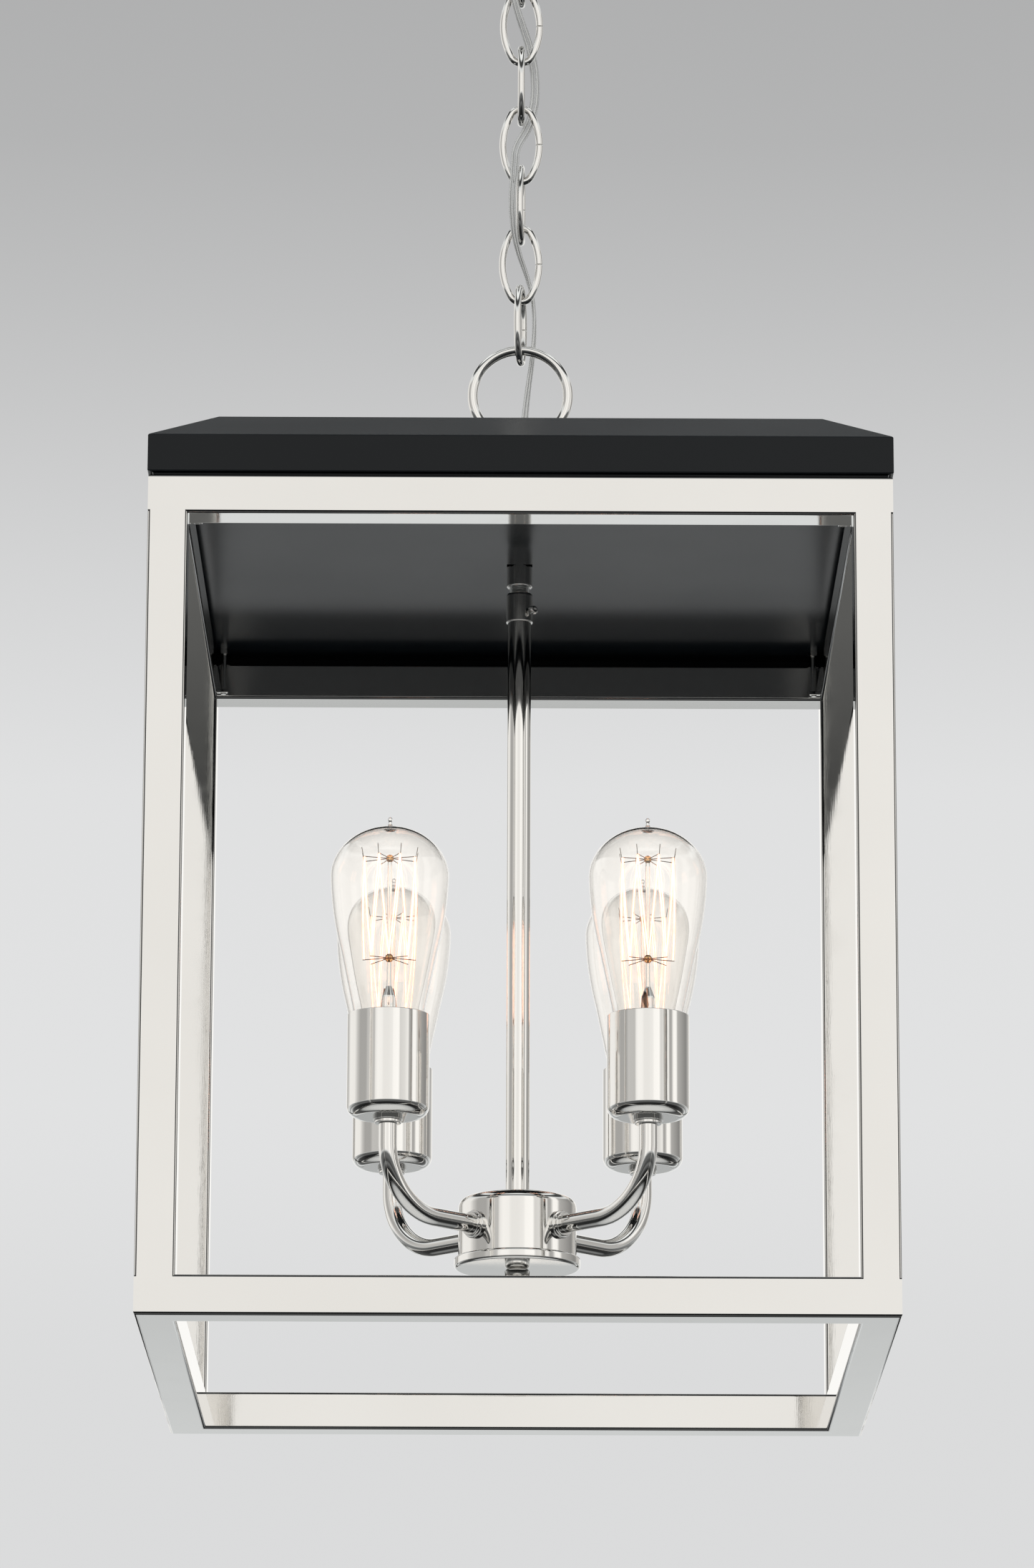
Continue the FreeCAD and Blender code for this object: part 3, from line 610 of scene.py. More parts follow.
def makeCap():
    # Folded shell: reveal, fascia, slopes and flat top, then back inside the skin; a flat ceiling plate under it.
    cap = {"reveal": 1.5, "revealIn": 2.7, "fascia": 19.9, "slopeIn": 32.2, "skin": 1.2, "outlet": 8.0,
           "slopeSkin": 1.3, "fold": 0.7, "lip": 3, "plateHole": 6.4}
    roofLow, roofHigh, _ = sizeOf("roof_shell")
    panelLow, panelHigh, _ = sizeOf("roof_panel")
    half, low, top = roofHigh[0], roofLow[2], roofHigh[2]
    lowPanel, panel = panelLow[2], panelHigh[2]
    fasciaTop = low + cap["fascia"]
    revealEdge = half - cap["revealIn"]
    inner = revealEdge - cap["skin"]
    slopeEdge = half - cap["slopeIn"]
    inside = half - cap["slopeSkin"]
    profile = np.array([
        (inner, panel), (inner, low), (revealEdge, low), (revealEdge, low + cap["reveal"]),
        (half, low + cap["reveal"]), (half, fasciaTop), (slopeEdge, top), (cap["outlet"], top),
        (cap["outlet"], top - cap["skin"]), (slopeEdge - 1, top - cap["skin"]), (inside, fasciaTop - cap["fold"]),
        (inside, panel + cap["lip"]), (inner, panel + cap["lip"])])
    shell = addPiece("roof_cap", squareRing(np.vstack([profile, profile[:1]])), "lantern", powder, "black_coat",
                     ["roof_shell"], sharpest=20)
    bevel = shell.modifiers.new("roundedEdges", "BEVEL")
    bevel.width = 0.0007
    bevel.segments = 3
    bevel.limit_method = "ANGLE"
    bevel.angle_limit = math.radians(15)
    bevel.harden_normals = True
    wide, hole = panelHigh[0], cap["plateHole"]
    plate = np.array([(hole, lowPanel), (wide, lowPanel), (wide, panel), (hole, panel), (hole, lowPanel)])
    addPiece("roof_ceiling", squareRing(plate), "lantern", powder, "black_coat", ["roof_panel"])
    print("cap made")


def ringed(corners, sides=72, centre=(0, 0), steps=7):
    # Closed outline of (r, z, fillet) corners turned about an upright axis.
    line = filleted(corners, steps)
    return turned(np.vstack([line, line[:1]]), sides, centre)


def threaded(radius, low, high, pitch=0.9, depth=0.28, centre=(0, 0), sides=40, perTurn=8):
    # Outside thread: r = radius - depth times a triangle wave of (z / pitch - angle / one turn).
    rows = int((high - low) / pitch * perTurn) + 2
    z = np.linspace(low, high, rows)[:, None]
    a = np.linspace(0, 2 * np.pi, sides, endpoint=False)
    wave = np.abs(((z / pitch - a / (2 * np.pi)) % 1.0) * 2 - 1)
    r = radius - depth * wave
    r[0], r[-1] = radius - depth, radius - depth
    points = np.stack([r * np.cos(a) + centre[0], r * np.sin(a) + centre[1], z + 0 * a], -1)
    return gridPart(points, closeColumns=True)


def upright(node):
    # Foot, top and reach along +X of an upright round CAD node.
    low, high, _ = sizeOf(node)
    return low[2], high[2], high[0]


def threadedNipple(name, node, body, low, high):
    # Thread outside and a plain bore, open at both ends.
    nipple = {"radius": 4.95, "root": 4.65, "bore": 3.4}
    threads = threaded(nipple["radius"], low, high)
    bore = turned(np.array([(nipple["root"], low), (nipple["bore"], low), (nipple["bore"], high),
                            (nipple["root"], high)]), 40)
    addPiece(name, joined([threads, bore]), body, zinc, "zinc_steel", [node], solid=False)


def makeRod():
    # Coupler under the cap, threaded nipple, collar and stem tube.
    rod = {"seat": 5.02, "wall": 1.0, "collarTop": 1.6, "edge": 0.4}
    foot, top, radius = upright("top_coupler")
    coupler = ringed([(rod["seat"], top, 0), (rod["seat"], foot + 0.8, 0), (5.7, foot, 0.15), (radius, foot, 0.6),
                      (radius, top, 0)])
    addPiece("top_coupler_turned", coupler, "lantern", nickel, "polished_nickel", ["top_coupler"])
    foot, top, _ = upright("stem_nipple")
    threadedNipple("stem_nipple_threaded", "stem_nipple", "lantern", foot, top)
    stemFoot, stemTop, stemR = upright("stem_tube")
    foot, top, radius = upright("stem_collar")
    bore, shelf = stemR + 0.05, stemTop + 0.6
    collar = ringed([(bore, foot, 0), (radius, foot, rod["edge"]), (radius, top, rod["collarTop"]),
                     (rod["seat"], top, 0), (rod["seat"], shelf, 0), (bore, shelf, 0)])
    addPiece("stem_collar_turned", collar, "lantern", nickel, "polished_nickel", ["stem_collar"])
    inner = stemR - rod["wall"]
    tube = ringed([(stemR, stemFoot, 0), (stemR, stemTop - 1, 0), (stemR, stemTop, 0.4), (inner, stemTop, 0),
                   (inner, stemFoot, 0)], 80)
    addPiece("stem_tube_drawn", tube, "cluster", nickel, "polished_nickel", ["stem_tube"])
    print("rod made")


def outwards(part, degrees, z):
    # A part turned about +Z and laid on its side: its axis goes outwards at a heading, at height z.
    points, faces = part
    laid = np.stack([points[:, 2], points[:, 1], -points[:, 0] + z], -1)
    return turnedZ(laid, degrees), faces


def makeThumbScrew():
    # Knurled head: r = head radius plus a shallow wave of 22 ribs; chamfered face with a shallow dish.
    screw = {"head": 2.0, "rib": 0.15, "ribs": 22, "shank": 1.0, "heading": -45.0, "z": 388.6, "from": 5.95,
             "headAt": 8.0, "thick": 3.2}
    a = np.linspace(0, 2 * np.pi, screw["ribs"] * 6, endpoint=False)
    head, shank, start, seat = screw["head"], screw["shank"], screw["from"], screw["headAt"]
    end = seat + screw["thick"]
    # radius, share of the ribs' wave, and place along the screw
    rings = [(0.0, 0, start), (shank, 0, start), (shank, 0, seat - 0.1), (head - 0.35, 0, seat),
             (head - 0.3, 0, seat + 0.02), (head, 1, seat + 0.35), (head, 1, end - 0.5),
             (head - 0.4, 0.3, end - 0.08), (head - 0.55, 0, end), (0.9, 0, end), (0.55, 0, end - 0.35),
             (0.0, 0, end - 0.4)]
    wave = np.cos(a * screw["ribs"]) * screw["rib"]
    points = np.stack([np.stack([(r + k * wave) * np.cos(a), (r + k * wave) * np.sin(a), z + 0 * a], -1)
                       for r, k, z in rings])
    part = outwards(gridPart(points, closeColumns=True), screw["heading"], screw["z"])
    addPiece("thumb_screw_knurled", part, "thumb_screw", nickel, "polished_nickel", ["thumb_screw"], sharpest=45)
    print("thumb screw made")


def makeHub():
    # Spun body with a rounded shoulder, its cover with a rolled rim, and the finial under it.
    hub = {"shoulder": 5.0, "wall": 1.5, "rim": 1.4, "neck": 5.0, "stemHole": 5.95, "screw": 2.95}
    foot, top, radius = upright("hub_body")
    inner, under, hole = radius - hub["wall"], top - hub["wall"], hub["stemHole"]
    body = ringed([(radius, foot, 0), (radius, foot + 2, 0), (radius, top, hub["shoulder"]), (hole, top, 0.3),
                   (hole, under, 0), (inner, under, 3.5), (inner, foot, 0)], 112, steps=12)
    addPiece("hub_body_spun", body, "cluster", nickel, "polished_nickel", ["hub_body"])
    foot, top, radius = upright("hub_cover")
    eye = hub["neck"] - 2
    cover = ringed([(eye, foot, 0), (radius, foot, hub["rim"]), (radius, top, hub["rim"]), (inner - 1, top, 0),
                    (inner - 1, foot + 2, 0), (eye, foot + 2, 0)], 112)
    addPiece("hub_cover_spun", cover, "cluster", nickel, "polished_nickel", ["hub_cover"])
    tip, top, radius = upright("finial")
    t = np.linspace(0, np.pi / 2, 12)
    dome = np.stack([radius * np.sin(t), tip + radius - radius * np.cos(t)], -1)
    rest = np.array([(radius, foot - 1.4), (radius - 0.1, foot - 1.15), (radius - 0.75, foot - 0.42),
                     (hub["neck"], foot - 0.05), (hub["screw"], foot), (hub["screw"], top), (0, top)])
    addPiece("finial_turned", turned(np.vstack([dome, rest]), 56), "cluster", nickel, "polished_nickel", ["finial"])
    print("hub made")


arm = {"headings": (225, 315, 45, 135), "z": 72.6, "radius": 4.5, "wall": 1.0, "reach": 89.0, "bend": 32.0,
       "from": 23.2, "hub": 29.05, "nut": 6.9, "cupNut": 6.6, "cupNutHeight": 3.0}


def armLine():
    # Out along X, a quarter turn of the bend radius, then up, as (x, 0, z).
    turn = arm["reach"] - arm["bend"]
    t = np.linspace(0, np.pi / 2, 30)
    bend = np.stack([turn + arm["bend"] * np.sin(t), 0 * t, arm["z"] + arm["bend"] * (1 - np.cos(t))], -1)
    cupFoot = sizeOf("socket_cup_1")[0][2]
    straight = np.linspace(arm["from"], turn, 8)[:-1]
    before = np.stack([straight, 0 * straight, 0 * straight + arm["z"]], -1)
    after = np.array([[arm["reach"], 0, z] for z in np.linspace(arm["z"] + arm["bend"] + 1, cupFoot + 2.2, 5)])
    return np.vstack([before, bend, after])


def makeArms():
    # Four bent tubes with their nuts, cups and lampholders.
    line = armLine()
    outer = tubeAlong(line, arm["radius"], 28)
    inner = tubeAlong(line, arm["radius"] - arm["wall"], 20)
    nutR, hubR, hole = arm["nut"], arm["hub"], arm["radius"] + 0.05
    hubNut = ringed([(hole, hubR - 0.9, 0), (nutR, hubR - 0.9, 0), (nutR, hubR + 2.0, 0.45),
                     (nutR - 1.0, hubR + 2.15, 0), (nutR - 1.0, hubR + 4.0, 0.35), (hole, hubR + 4.0, 0)], 48)
    low, high, _ = sizeOf("socket_cup_1")
    foot, top, radius = low[2], high[2], (high[0] - low[0]) / 2
    nutFoot = foot - arm["cupNutHeight"]
    at = (arm["reach"], 0)
    nutR, flange = arm["cupNut"], arm["cupNut"] + 0.6
    cupNut = ringed([(hole, nutFoot, 0), (nutR, nutFoot, 0.35), (nutR, foot - 1.4, 0), (flange, foot - 1.4, 0.25),
                     (flange, foot, 0), (hole, foot, 0)], 48, at)
    skin, hole = 1.1, arm["radius"] + 0.1
    cup = ringed([(hole, foot, 0), (radius, foot, 5.5), (radius, top, 0.35), (radius - skin, top, 0.35),
                  (radius - skin, foot + skin, 4.4), (hole, foot + skin, 0)], 96, at, steps=11)
    holderTop = sizeOf("lampholders")[1][2]
    holder = ringed([(0, foot + 2.5, 0), (15.0, foot + 2.5, 0), (18.0, foot + 6, 0.8), (18.0, holderTop, 0.9),
                     (13.7, holderTop, 0.5), (13.7, foot + 12, 0.5), (0, foot + 12, 0)], 72, at)
    nuts, holders = [], []
    for k, heading in enumerate(arm["headings"], 1):
        for name, part, node in (("arm_bent_%d" % k, joined([outer, inner]), "arm_%d" % k),
                                 ("socket_cup_spun_%d" % k, cup, "socket_cup_%d" % k)):
            addPiece(name, (turnedZ(part[0], heading), part[1]), "cluster", nickel, "polished_nickel", [node],
                     solid="arm" not in name)
        nuts += [outwards(hubNut, heading, arm["z"]), (turnedZ(cupNut[0], heading), cupNut[1])]
        holders.append((turnedZ(holder[0], heading), holder[1]))
    addPiece("arm_nuts_turned", joined(nuts), "cluster", nickel, "polished_nickel", ["arm_nuts"])
    addPiece("lampholders_moulded", joined(holders), "cluster", phenolic, "phenolic", ["lampholders"])
    print("arms made")


lamp = {"neck": (12.4, 156.0), "throat": (14.4, 161.5), "lip": (17.0, 167.4), "flank": (23.7, 200.0),
        "bulge": (27.6, 220.0), "widest": (28.9, 236.8), "dome": 24.6, "wall": 0.8,
        "tipWaist": 0.8, "tipBall": 1.15, "tipFlare": 2.6, "lowButton": 196.0, "highButton": 246.0,
        "lowHooks": 12.2, "highHooks": 13.3, "strands": 8, "strandR": 0.34, "haloR": 0.80}


def arcThrough(start, middle, end, steps):
    # Circle through three points: centre where the perpendicular bisectors meet, then even steps of angle.
    a, b, c = (complex(*p) for p in (start, middle, end))
    w = (c - a) / (b - a)
    centre = (b - a) * (w - abs(w) ** 2) / (2j * w.imag) + a
    begin, finish = a - centre, c - centre
    sweep = np.angle(finish / begin)
    turns = centre + begin * np.exp(1j * np.linspace(0, sweep, steps))
    return np.stack([turns.real, turns.imag], -1)


def lampOutline(inset, lastR):
    # Glass from the neck up: a flare, a straight flank, a bulge, then an ellipse to the crown, all moved in by inset.
    move = np.array([inset, 0.0])
    at = {key: np.array(lamp[key], float) - move for key in ("neck", "throat", "lip", "flank", "bulge", "widest")}
    flare = arcThrough(at["neck"], at["throat"], at["lip"], 9)
    bulge = arcThrough(at["flank"], at["bulge"], at["widest"], 14)
    t = np.linspace(0, math.acos(lastR / at["widest"][0]), 34)[1:]
    dome = np.stack([at["widest"][0] * np.cos(t), at["widest"][1] + (lamp["dome"] - inset) * np.sin(t)], -1)
    return np.vstack([flare, np.linspace(flare[-1], bulge[0], 8)[1:-1], bulge, dome])


def lampGlass():
    # Outside with its drawn tip, then back down the inside.
    outside = lampOutline(0.0, lamp["tipFlare"])
    inside = lampOutline(lamp["wall"], 0.35)
    top = lamp["widest"][1] + lamp["dome"]
    t = np.linspace(0, 1, 8)[1:-1]
    foot, waist = outside[-1], np.array([lamp["tipWaist"], top + 2.4])
    flare = np.stack([foot[0] + (waist[0] - foot[0]) * (1 - (1 - t) ** 2.2), foot[1] + (waist[1] - foot[1]) * t], -1)
    a = np.linspace(-0.75, np.pi / 2, 12)
    tip = np.stack([lamp["tipBall"] * np.cos(a), top + 4.1 + lamp["tipBall"] * np.sin(a)], -1)
    tip[-1, 0] = 0.0
    line = np.vstack([outside, flare, waist, tip])
    back = np.vstack([[0.0, inside[-1][1]], inside[::-1]])
    outer, inner = turned(line, 96), turned(back, 96)
    rim = turned(np.array([inside[0], outside[0]]), 96)
    return joined([outer, inner, rim])


def filamentHooks():
    # Upper and lower hook points round the lamp; the lower ones stand half-way between the upper ones.
    count = lamp["strands"]
    hooks = []
    for step, radius, level in ((0.5, lamp["highHooks"], lamp["highButton"] - 0.3),
                                (1.0, lamp["lowHooks"], lamp["lowButton"] - 1.0)):
        a = np.radians(360 / count * (np.arange(count) + step))
        hooks.append(np.stack([radius * np.cos(a), radius * np.sin(a), 0 * a + level], -1))
    return hooks


def wireBetween(start, end, radius, sides=8, bow=0.0, rows=12):
    # Thin wire, bowed sideways from the axis by bow times sin(pi t).
    t = np.linspace(0, 1, rows)[:, None]
    line = start + (end - start) * t
    out = (start + end) / 2 * np.array([1, 1, 0])
    out /= max(np.linalg.norm(out), 1e-6)
    line = line + out * bow * np.sin(np.pi * t)
    side = np.cross(end - start, out)
    side = side / max(np.linalg.norm(side), 1e-6) if np.linalg.norm(side) > 1e-6 else np.array([0, 1.0, 0])
    return tubeAlong(line, radius, sides, sideways=side, caps=True)


def makeLamps():
    # Glass, screw cap, glass mount with buttons, support wires and the lit zig-zag, on each of the four arms.
    tops, feet = filamentHooks()
    count = lamp["strands"]
    lit, glow, hookParts, copperParts = [], [], [], []
    for k in range(count):
        for top in (tops[k], tops[(k + 1) % count]):
            lit.append(wireBetween(feet[k] + [0, 0, 0.4], top, lamp["strandR"], 10, 0.7))
            glow.append(wireBetween(feet[k] + [0, 0, 0.6], top - [0, 0, 0.3], lamp["haloR"], 10, 0.7))
        outward = tops[k] * [1, 1, 0] / lamp["highHooks"]
        hub = np.array([0, 0, lamp["highButton"]]) + outward * 1.2
        hookParts.append(wireBetween(hub, tops[k] + outward * 0.6, 0.2))
        hookParts.append(wireBetween(tops[k] + outward * 0.6, tops[k] + outward * 1.5 + [0, 0, 4.6], 0.16))
        outward = feet[k] * [1, 1, 0] / lamp["lowHooks"]
        hub = np.array([0, 0, lamp["lowButton"]]) + outward * 1.2
        hookParts.append(wireBetween(hub, feet[k] + outward * 0.7, 0.2))
    for side in (-1, 1):
        route = np.array([(side * 3.6, 0, 160.0), (side * 3.8, 0, 167.0), (side * 3.3, 0.3, 174.0),
                          (side * 2.2, 0.6, 181.0)])
        copperParts.append(tubeAlong(smoothLine(route, 8), 0.28, 8, caps=True))
        copperParts.append(ball((side * 3.7, 0, 165.5), 0.75, 8, 10))
    turn = np.linspace(0, 2 * np.pi, 28, endpoint=False)
    loop = np.stack([2.6 * np.cos(turn), 2.6 * np.sin(turn), 0 * turn + lamp["lowButton"] - 0.4], -1)
    copperParts.append(tubeAlong(loop, 0.3, 8, sideways=(0, 0, 1), closed=True))
    rod = filleted([(0, 156.1, 0), (9.0, 156.1, 0.3), (4.4, 164, 2.5), (3.4, 172, 1.2), (3.2, 177, 1.2),
                    (1.3, 182, 1.0), (1.1, 186, 0), (1.1, lamp["highButton"], 0), (0, lamp["highButton"], 0)], 6)
    mount = turned(rod, 32)
    buttons = joined([ball((0, 0, lamp["lowButton"]), 2.1), ball((0, 0, lamp["highButton"]), 1.9)])
    low, high, _ = sizeOf("bulb_cap_1")
    foot, top, radius = low[2], high[2], (high[0] - low[0]) / 2
    contact = filleted([(0, foot, 0), (4.5, foot, 0.5), (6.0, foot + 2.5, 0.8), (radius - 1.5, foot + 5, 0.8)], 5)
    crown = filleted([(radius - 0.4, top - 0.6, 0), (radius, top, 0.2), (radius - 0.5, top, 0.1),
                      (radius - 0.5, top - 2, 0)], 4)
    skin = threaded(radius, foot + 5, top - 0.6, 3.6, 0.75, sides=48, perTurn=10)
    cap = joined([turned(contact, 48), skin, turned(crown, 48)])
    glassPart = lampGlass()
    for k, heading in enumerate(arm["headings"], 1):
        a = math.radians(heading)
        shift = np.array([arm["reach"] * math.cos(a), arm["reach"] * math.sin(a), 0])
        body, mountNode = "bulb_%d" % k, "filament_mount_%d" % k
        turn = 90.0 * (k - 1)
        pieces = [("lamp_glass_%d" % k, glassPart, glass, "lamp_glass", ["bulb_glass_%d" % k]),
                  ("lamp_cap_%d" % k, cap, lampMetal, "lamp_cap", ["bulb_cap_%d" % k]),
                  ("lamp_mount_%d" % k, mount, mountGlass, "lamp_glass", [mountNode]),
                  ("lamp_buttons_%d" % k, buttons, amber, "lamp_glass", [mountNode]),
                  ("lamp_hooks_%d" % k, joined(hookParts), hooks, "lamp_filament", [mountNode]),
                  ("lamp_leads_%d" % k, joined(copperParts), copper, "lamp_filament", [mountNode]),
                  ("lamp_filament_%d" % k, joined(lit), filamentWire, "lamp_filament", [mountNode]),
                  ("lamp_glow_%d" % k, joined(glow), halo, "lamp_filament", [mountNode])]
        for name, part, material, slotName, nodes in pieces:
            addPiece(name, (turnedZ(part[0], turn) + shift, part[1]), body, material, slotName, nodes)
    print("lamps made")


def makeRing():
    a = np.linspace(0, 2 * np.pi, 144, endpoint=False)
    path = np.stack([ringCentre[0] + ringR * np.cos(a), 0 * a, ringCentre[2] + ringR * np.sin(a)], -1)
    addPiece("hang_ring_bent", tubeAlong(path, ringWire / 2, 28, closed=True), "ring", nickel, "polished_nickel",
             ["hang_ring"])
    print("ring made")


def makeHolder():
    # Flange and round neck, then a tongue with a rounded crown and a cross hole for the ring.
    holder = {"flange": 22.5, "edge": 0.8, "neck": 7.0, "fillet": 2.5, "tongue": 9.0, "holeR": 3.6,
              "shoulder": 470.0}
    foot, top, _ = upright("ring_holder")
    neck = holder["neck"]
    base = ringed([(5.02, foot, 0), (holder["flange"], foot, 0.3), (holder["flange"], foot + 3, holder["edge"]),
                   (neck, foot + 3, holder["fillet"]), (neck, holder["shoulder"], 0.4), (0, holder["shoulder"], 0),
                   (0, foot + 8, 0), (5.02, foot + 8, 0)], 96)
    lift = ringR - math.sqrt(ringR ** 2 - (holder["tongue"] / 2) ** 2)
    holeZ = ringLow[2] + ringWire / 2 + lift + ringWire / 2 - holder["holeR"] + 0.05
    # outer contour: from the hole's centre at angle t out to the slab's edge (sides, shoulder and crown)
    t = np.linspace(0, 2 * np.pi, 97)[:-1]
    crownZ = top - neck
    heading = np.stack([np.cos(t), np.sin(t)], -1)
    reach = neck / np.maximum(np.abs(heading[:, 0]), 1e-9)
    down = (holeZ - holder["shoulder"] + 0.3) / np.maximum(-heading[:, 1], 1e-9)
    reach = np.where(heading[:, 1] < 0, np.minimum(reach, down), reach)
    # over the sides' tops the line from the hole's centre meets the crown's circle instead
    lean = heading[:, 1] * (holeZ - crownZ)
    crownReach = -lean + np.sqrt(lean ** 2 - (holeZ - crownZ) ** 2 + neck ** 2)
    reach = np.where(holeZ + heading[:, 1] * reach > crownZ, crownReach, reach)
    outer = heading * reach[:, None]
    hole = np.stack([holder["holeR"] * np.cos(t), holder["holeR"] * np.sin(t)], -1)
    half = holder["tongue"] / 2
    rows = [(hole, -half + 0.4), (hole * 1.11, -half), (outer * 0.94, -half), (outer, -half + 0.5),
            (outer, half - 0.5), (outer * 0.94, half), (hole * 1.11, half), (hole, half - 0.4)]
    points = np.stack([np.stack([0 * t + x, ring[:, 0], ring[:, 1] + holeZ], -1) for ring, x in rows])
    tongue = gridPart(points, closeRows=True, closeColumns=True)
    addPiece("ring_holder_turned", joined([base, tongue]), "lantern", nickel, "polished_nickel", ["ring_holder"],
             sharpest=30)
    print("holder made")


def linkLine():
    # Centre line of a link in the XZ plane: five arcs, with the cut at mid-height of the +X side.
    end, halfHeight, halfWidth = chain["endRadius"], chain["halfLength"], chain["halfWidth"]
    side = ((halfHeight - end) ** 2 + halfWidth ** 2 - end ** 2) / (2 * (halfWidth - end))
    turn = math.asin((halfHeight - end) / (side - end))
    gap = math.asin(chain["cut"] / 2 / side)

    def sideArc(sign, low, high):
        a = np.linspace(low, high, 16)
        return np.stack([sign * (halfWidth - side + side * np.cos(a)), 0 * a, side * np.sin(a)], -1)

    def endArc(sign):
        a = sign * np.linspace(np.pi / 2 - turn, turn - np.pi / 2, 18)[1:-1]
        return np.stack([end * np.sin(a), 0 * a, sign * (halfHeight - end + end * np.cos(a))], -1)

    return np.vstack([sideArc(1, gap, turn), endArc(1), sideArc(-1, turn, -turn), endArc(-1),
                      sideArc(1, -turn, -gap)])


def makeChain():
    # Seven links. Each has a cut with slightly eased ends; every other link stands across the first.
    line = linkLine()
    sizes = np.full(len(line), chain["wire"] / 2)
    sizes[[0, -1]] -= 0.22
    stepped = np.vstack([line[0], line[0] + (line[1] - line[0]) * 0.12, line[1:-1],
                         line[-1] + (line[-2] - line[-1]) * 0.12, line[-1]])
    sizes = np.r_[sizes[0], sizes[1], sizes[1:-1], sizes[1], sizes[-1]]
    points, faces = tubeAlong(stepped, sizes, 22, caps=True)
    for k, (_, _, centre) in enumerate(linkBoxes, 1):
        heading = 90 - chain["lean"].get(k, 0.0) if k % 2 else 0
        moved = turnedZ(points, heading) + np.array([0, 0, centre[2]])
        addPiece("chain_link_bent_%d" % k, (moved, faces), "link_%d" % k, nickel, "polished_nickel",
                 ["chain_link_%d" % k])
    print("chain made")


def hexNut(radius, low, high, bore, centre=(0, 0), chamfer=0.35):
    # Hexagon carried over a nut's outline; the rim of each face is eased by the chamfer.
    tight = np.radians(np.arange(48) * 7.5)
    sector = (tight % (np.pi / 3)) - np.pi / 6
    apothem = radius * math.cos(np.pi / 6)
    flat = apothem / np.cos(sector)
    hole, eased = bore + 0 * tight, np.minimum(flat, radius * 0.93)
    rows = [(hole, low), (eased, low), (flat, low + chamfer), (flat, high - chamfer), (eased, high), (hole, high)]
    points = np.stack([np.stack([r * np.cos(tight) + centre[0], r * np.sin(tight) + centre[1], 0 * tight + z], -1)
                       for r, z in rows])
    return gridPart(points, closeRows=True, closeColumns=True)


def makeCanopy():
    # Spun plate, the eye with its round plate under it, and the nipple and nuts that hold both to the crossbar.
    canopy = {"rim": 4.0, "sheet": 1.0, "bore": 5.1, "plateR": 14.0, "eyeR": 9.5, "eyeWire": 4.0, "seat": 5.02,
              "nut": 8.5, "nutBore": 5.0, "nutHeight": 3.0}
    canopyFoot, top, radius = upright("canopy")
    dome = arcThrough((radius - 14, canopyFoot + 5.0), (radius - 5.2, canopyFoot + 9.9),
                      (radius, top - canopy["rim"] - 3.0), 16)
    outline = np.vstack([[(canopy["bore"], canopyFoot), (29.0, canopyFoot)], [(30.5, canopyFoot + 0.15)], dome,
                         [(radius, top - canopy["rim"]), (radius, top)]])
    inner = outline[::-1] - [canopy["sheet"], 0]
    inner[:, 1] += np.where(inner[:, 1] > top - 0.5, 0, canopy["sheet"])
    inner[:, 1] = np.minimum(inner[:, 1], top)
    inner[-1, 0] = canopy["bore"]
    profile = np.vstack([outline, inner, outline[:1]])
    addPiece("canopy_spun", turned(profile, 128), "canopy", nickel, "polished_nickel", ["canopy"], sharpest=40)
    nippleFoot, nippleTop, _ = upright("canopy_nipple")
    foot, top, _ = upright("canopy_loop")
    plateFoot = nippleFoot - 3.0
    plate = ringed([(3.4, plateFoot, 0), (canopy["plateR"] - 0.2, plateFoot, 1.3), (canopy["plateR"], top, 0.5),
                    (canopy["seat"], top, 0), (canopy["seat"], plateFoot + 3, 0), (3.4, plateFoot + 3, 0)], 72)
    wire, eye = canopy["eyeWire"], canopy["eyeR"]
    middle, legTop = foot + wire / 2 + eye, plateFoot + 1.0
    a = np.linspace(np.pi, 2 * np.pi, 40)
    arc = np.stack([eye * np.cos(a), 0 * a, middle + eye * np.sin(a)], -1)
    path = np.vstack([(-eye, 0, legTop), (-eye, 0, middle + 2), arc, (eye, 0, middle + 2), (eye, 0, legTop)])
    loop = tubeAlong(path, wire / 2, 22, caps=True)
    addPiece("canopy_loop_cast", joined([plate, loop]), "canopy", nickel, "polished_nickel", ["canopy_loop"])
    threadedNipple("canopy_nipple_threaded", "canopy_nipple", "canopy", nippleFoot, nippleTop)
    feet = (canopyFoot + 1.2, upright("mounting_bar")[0] - canopy["nutHeight"])
    nuts = joined([hexNut(canopy["nut"], z, z + canopy["nutHeight"], canopy["nutBore"]) for z in feet])
    addPiece("canopy_hex_nuts", nuts, "canopy", zinc, "zinc_steel", ["canopy_nuts"], sharpest=25)
    print("ceiling plate made")


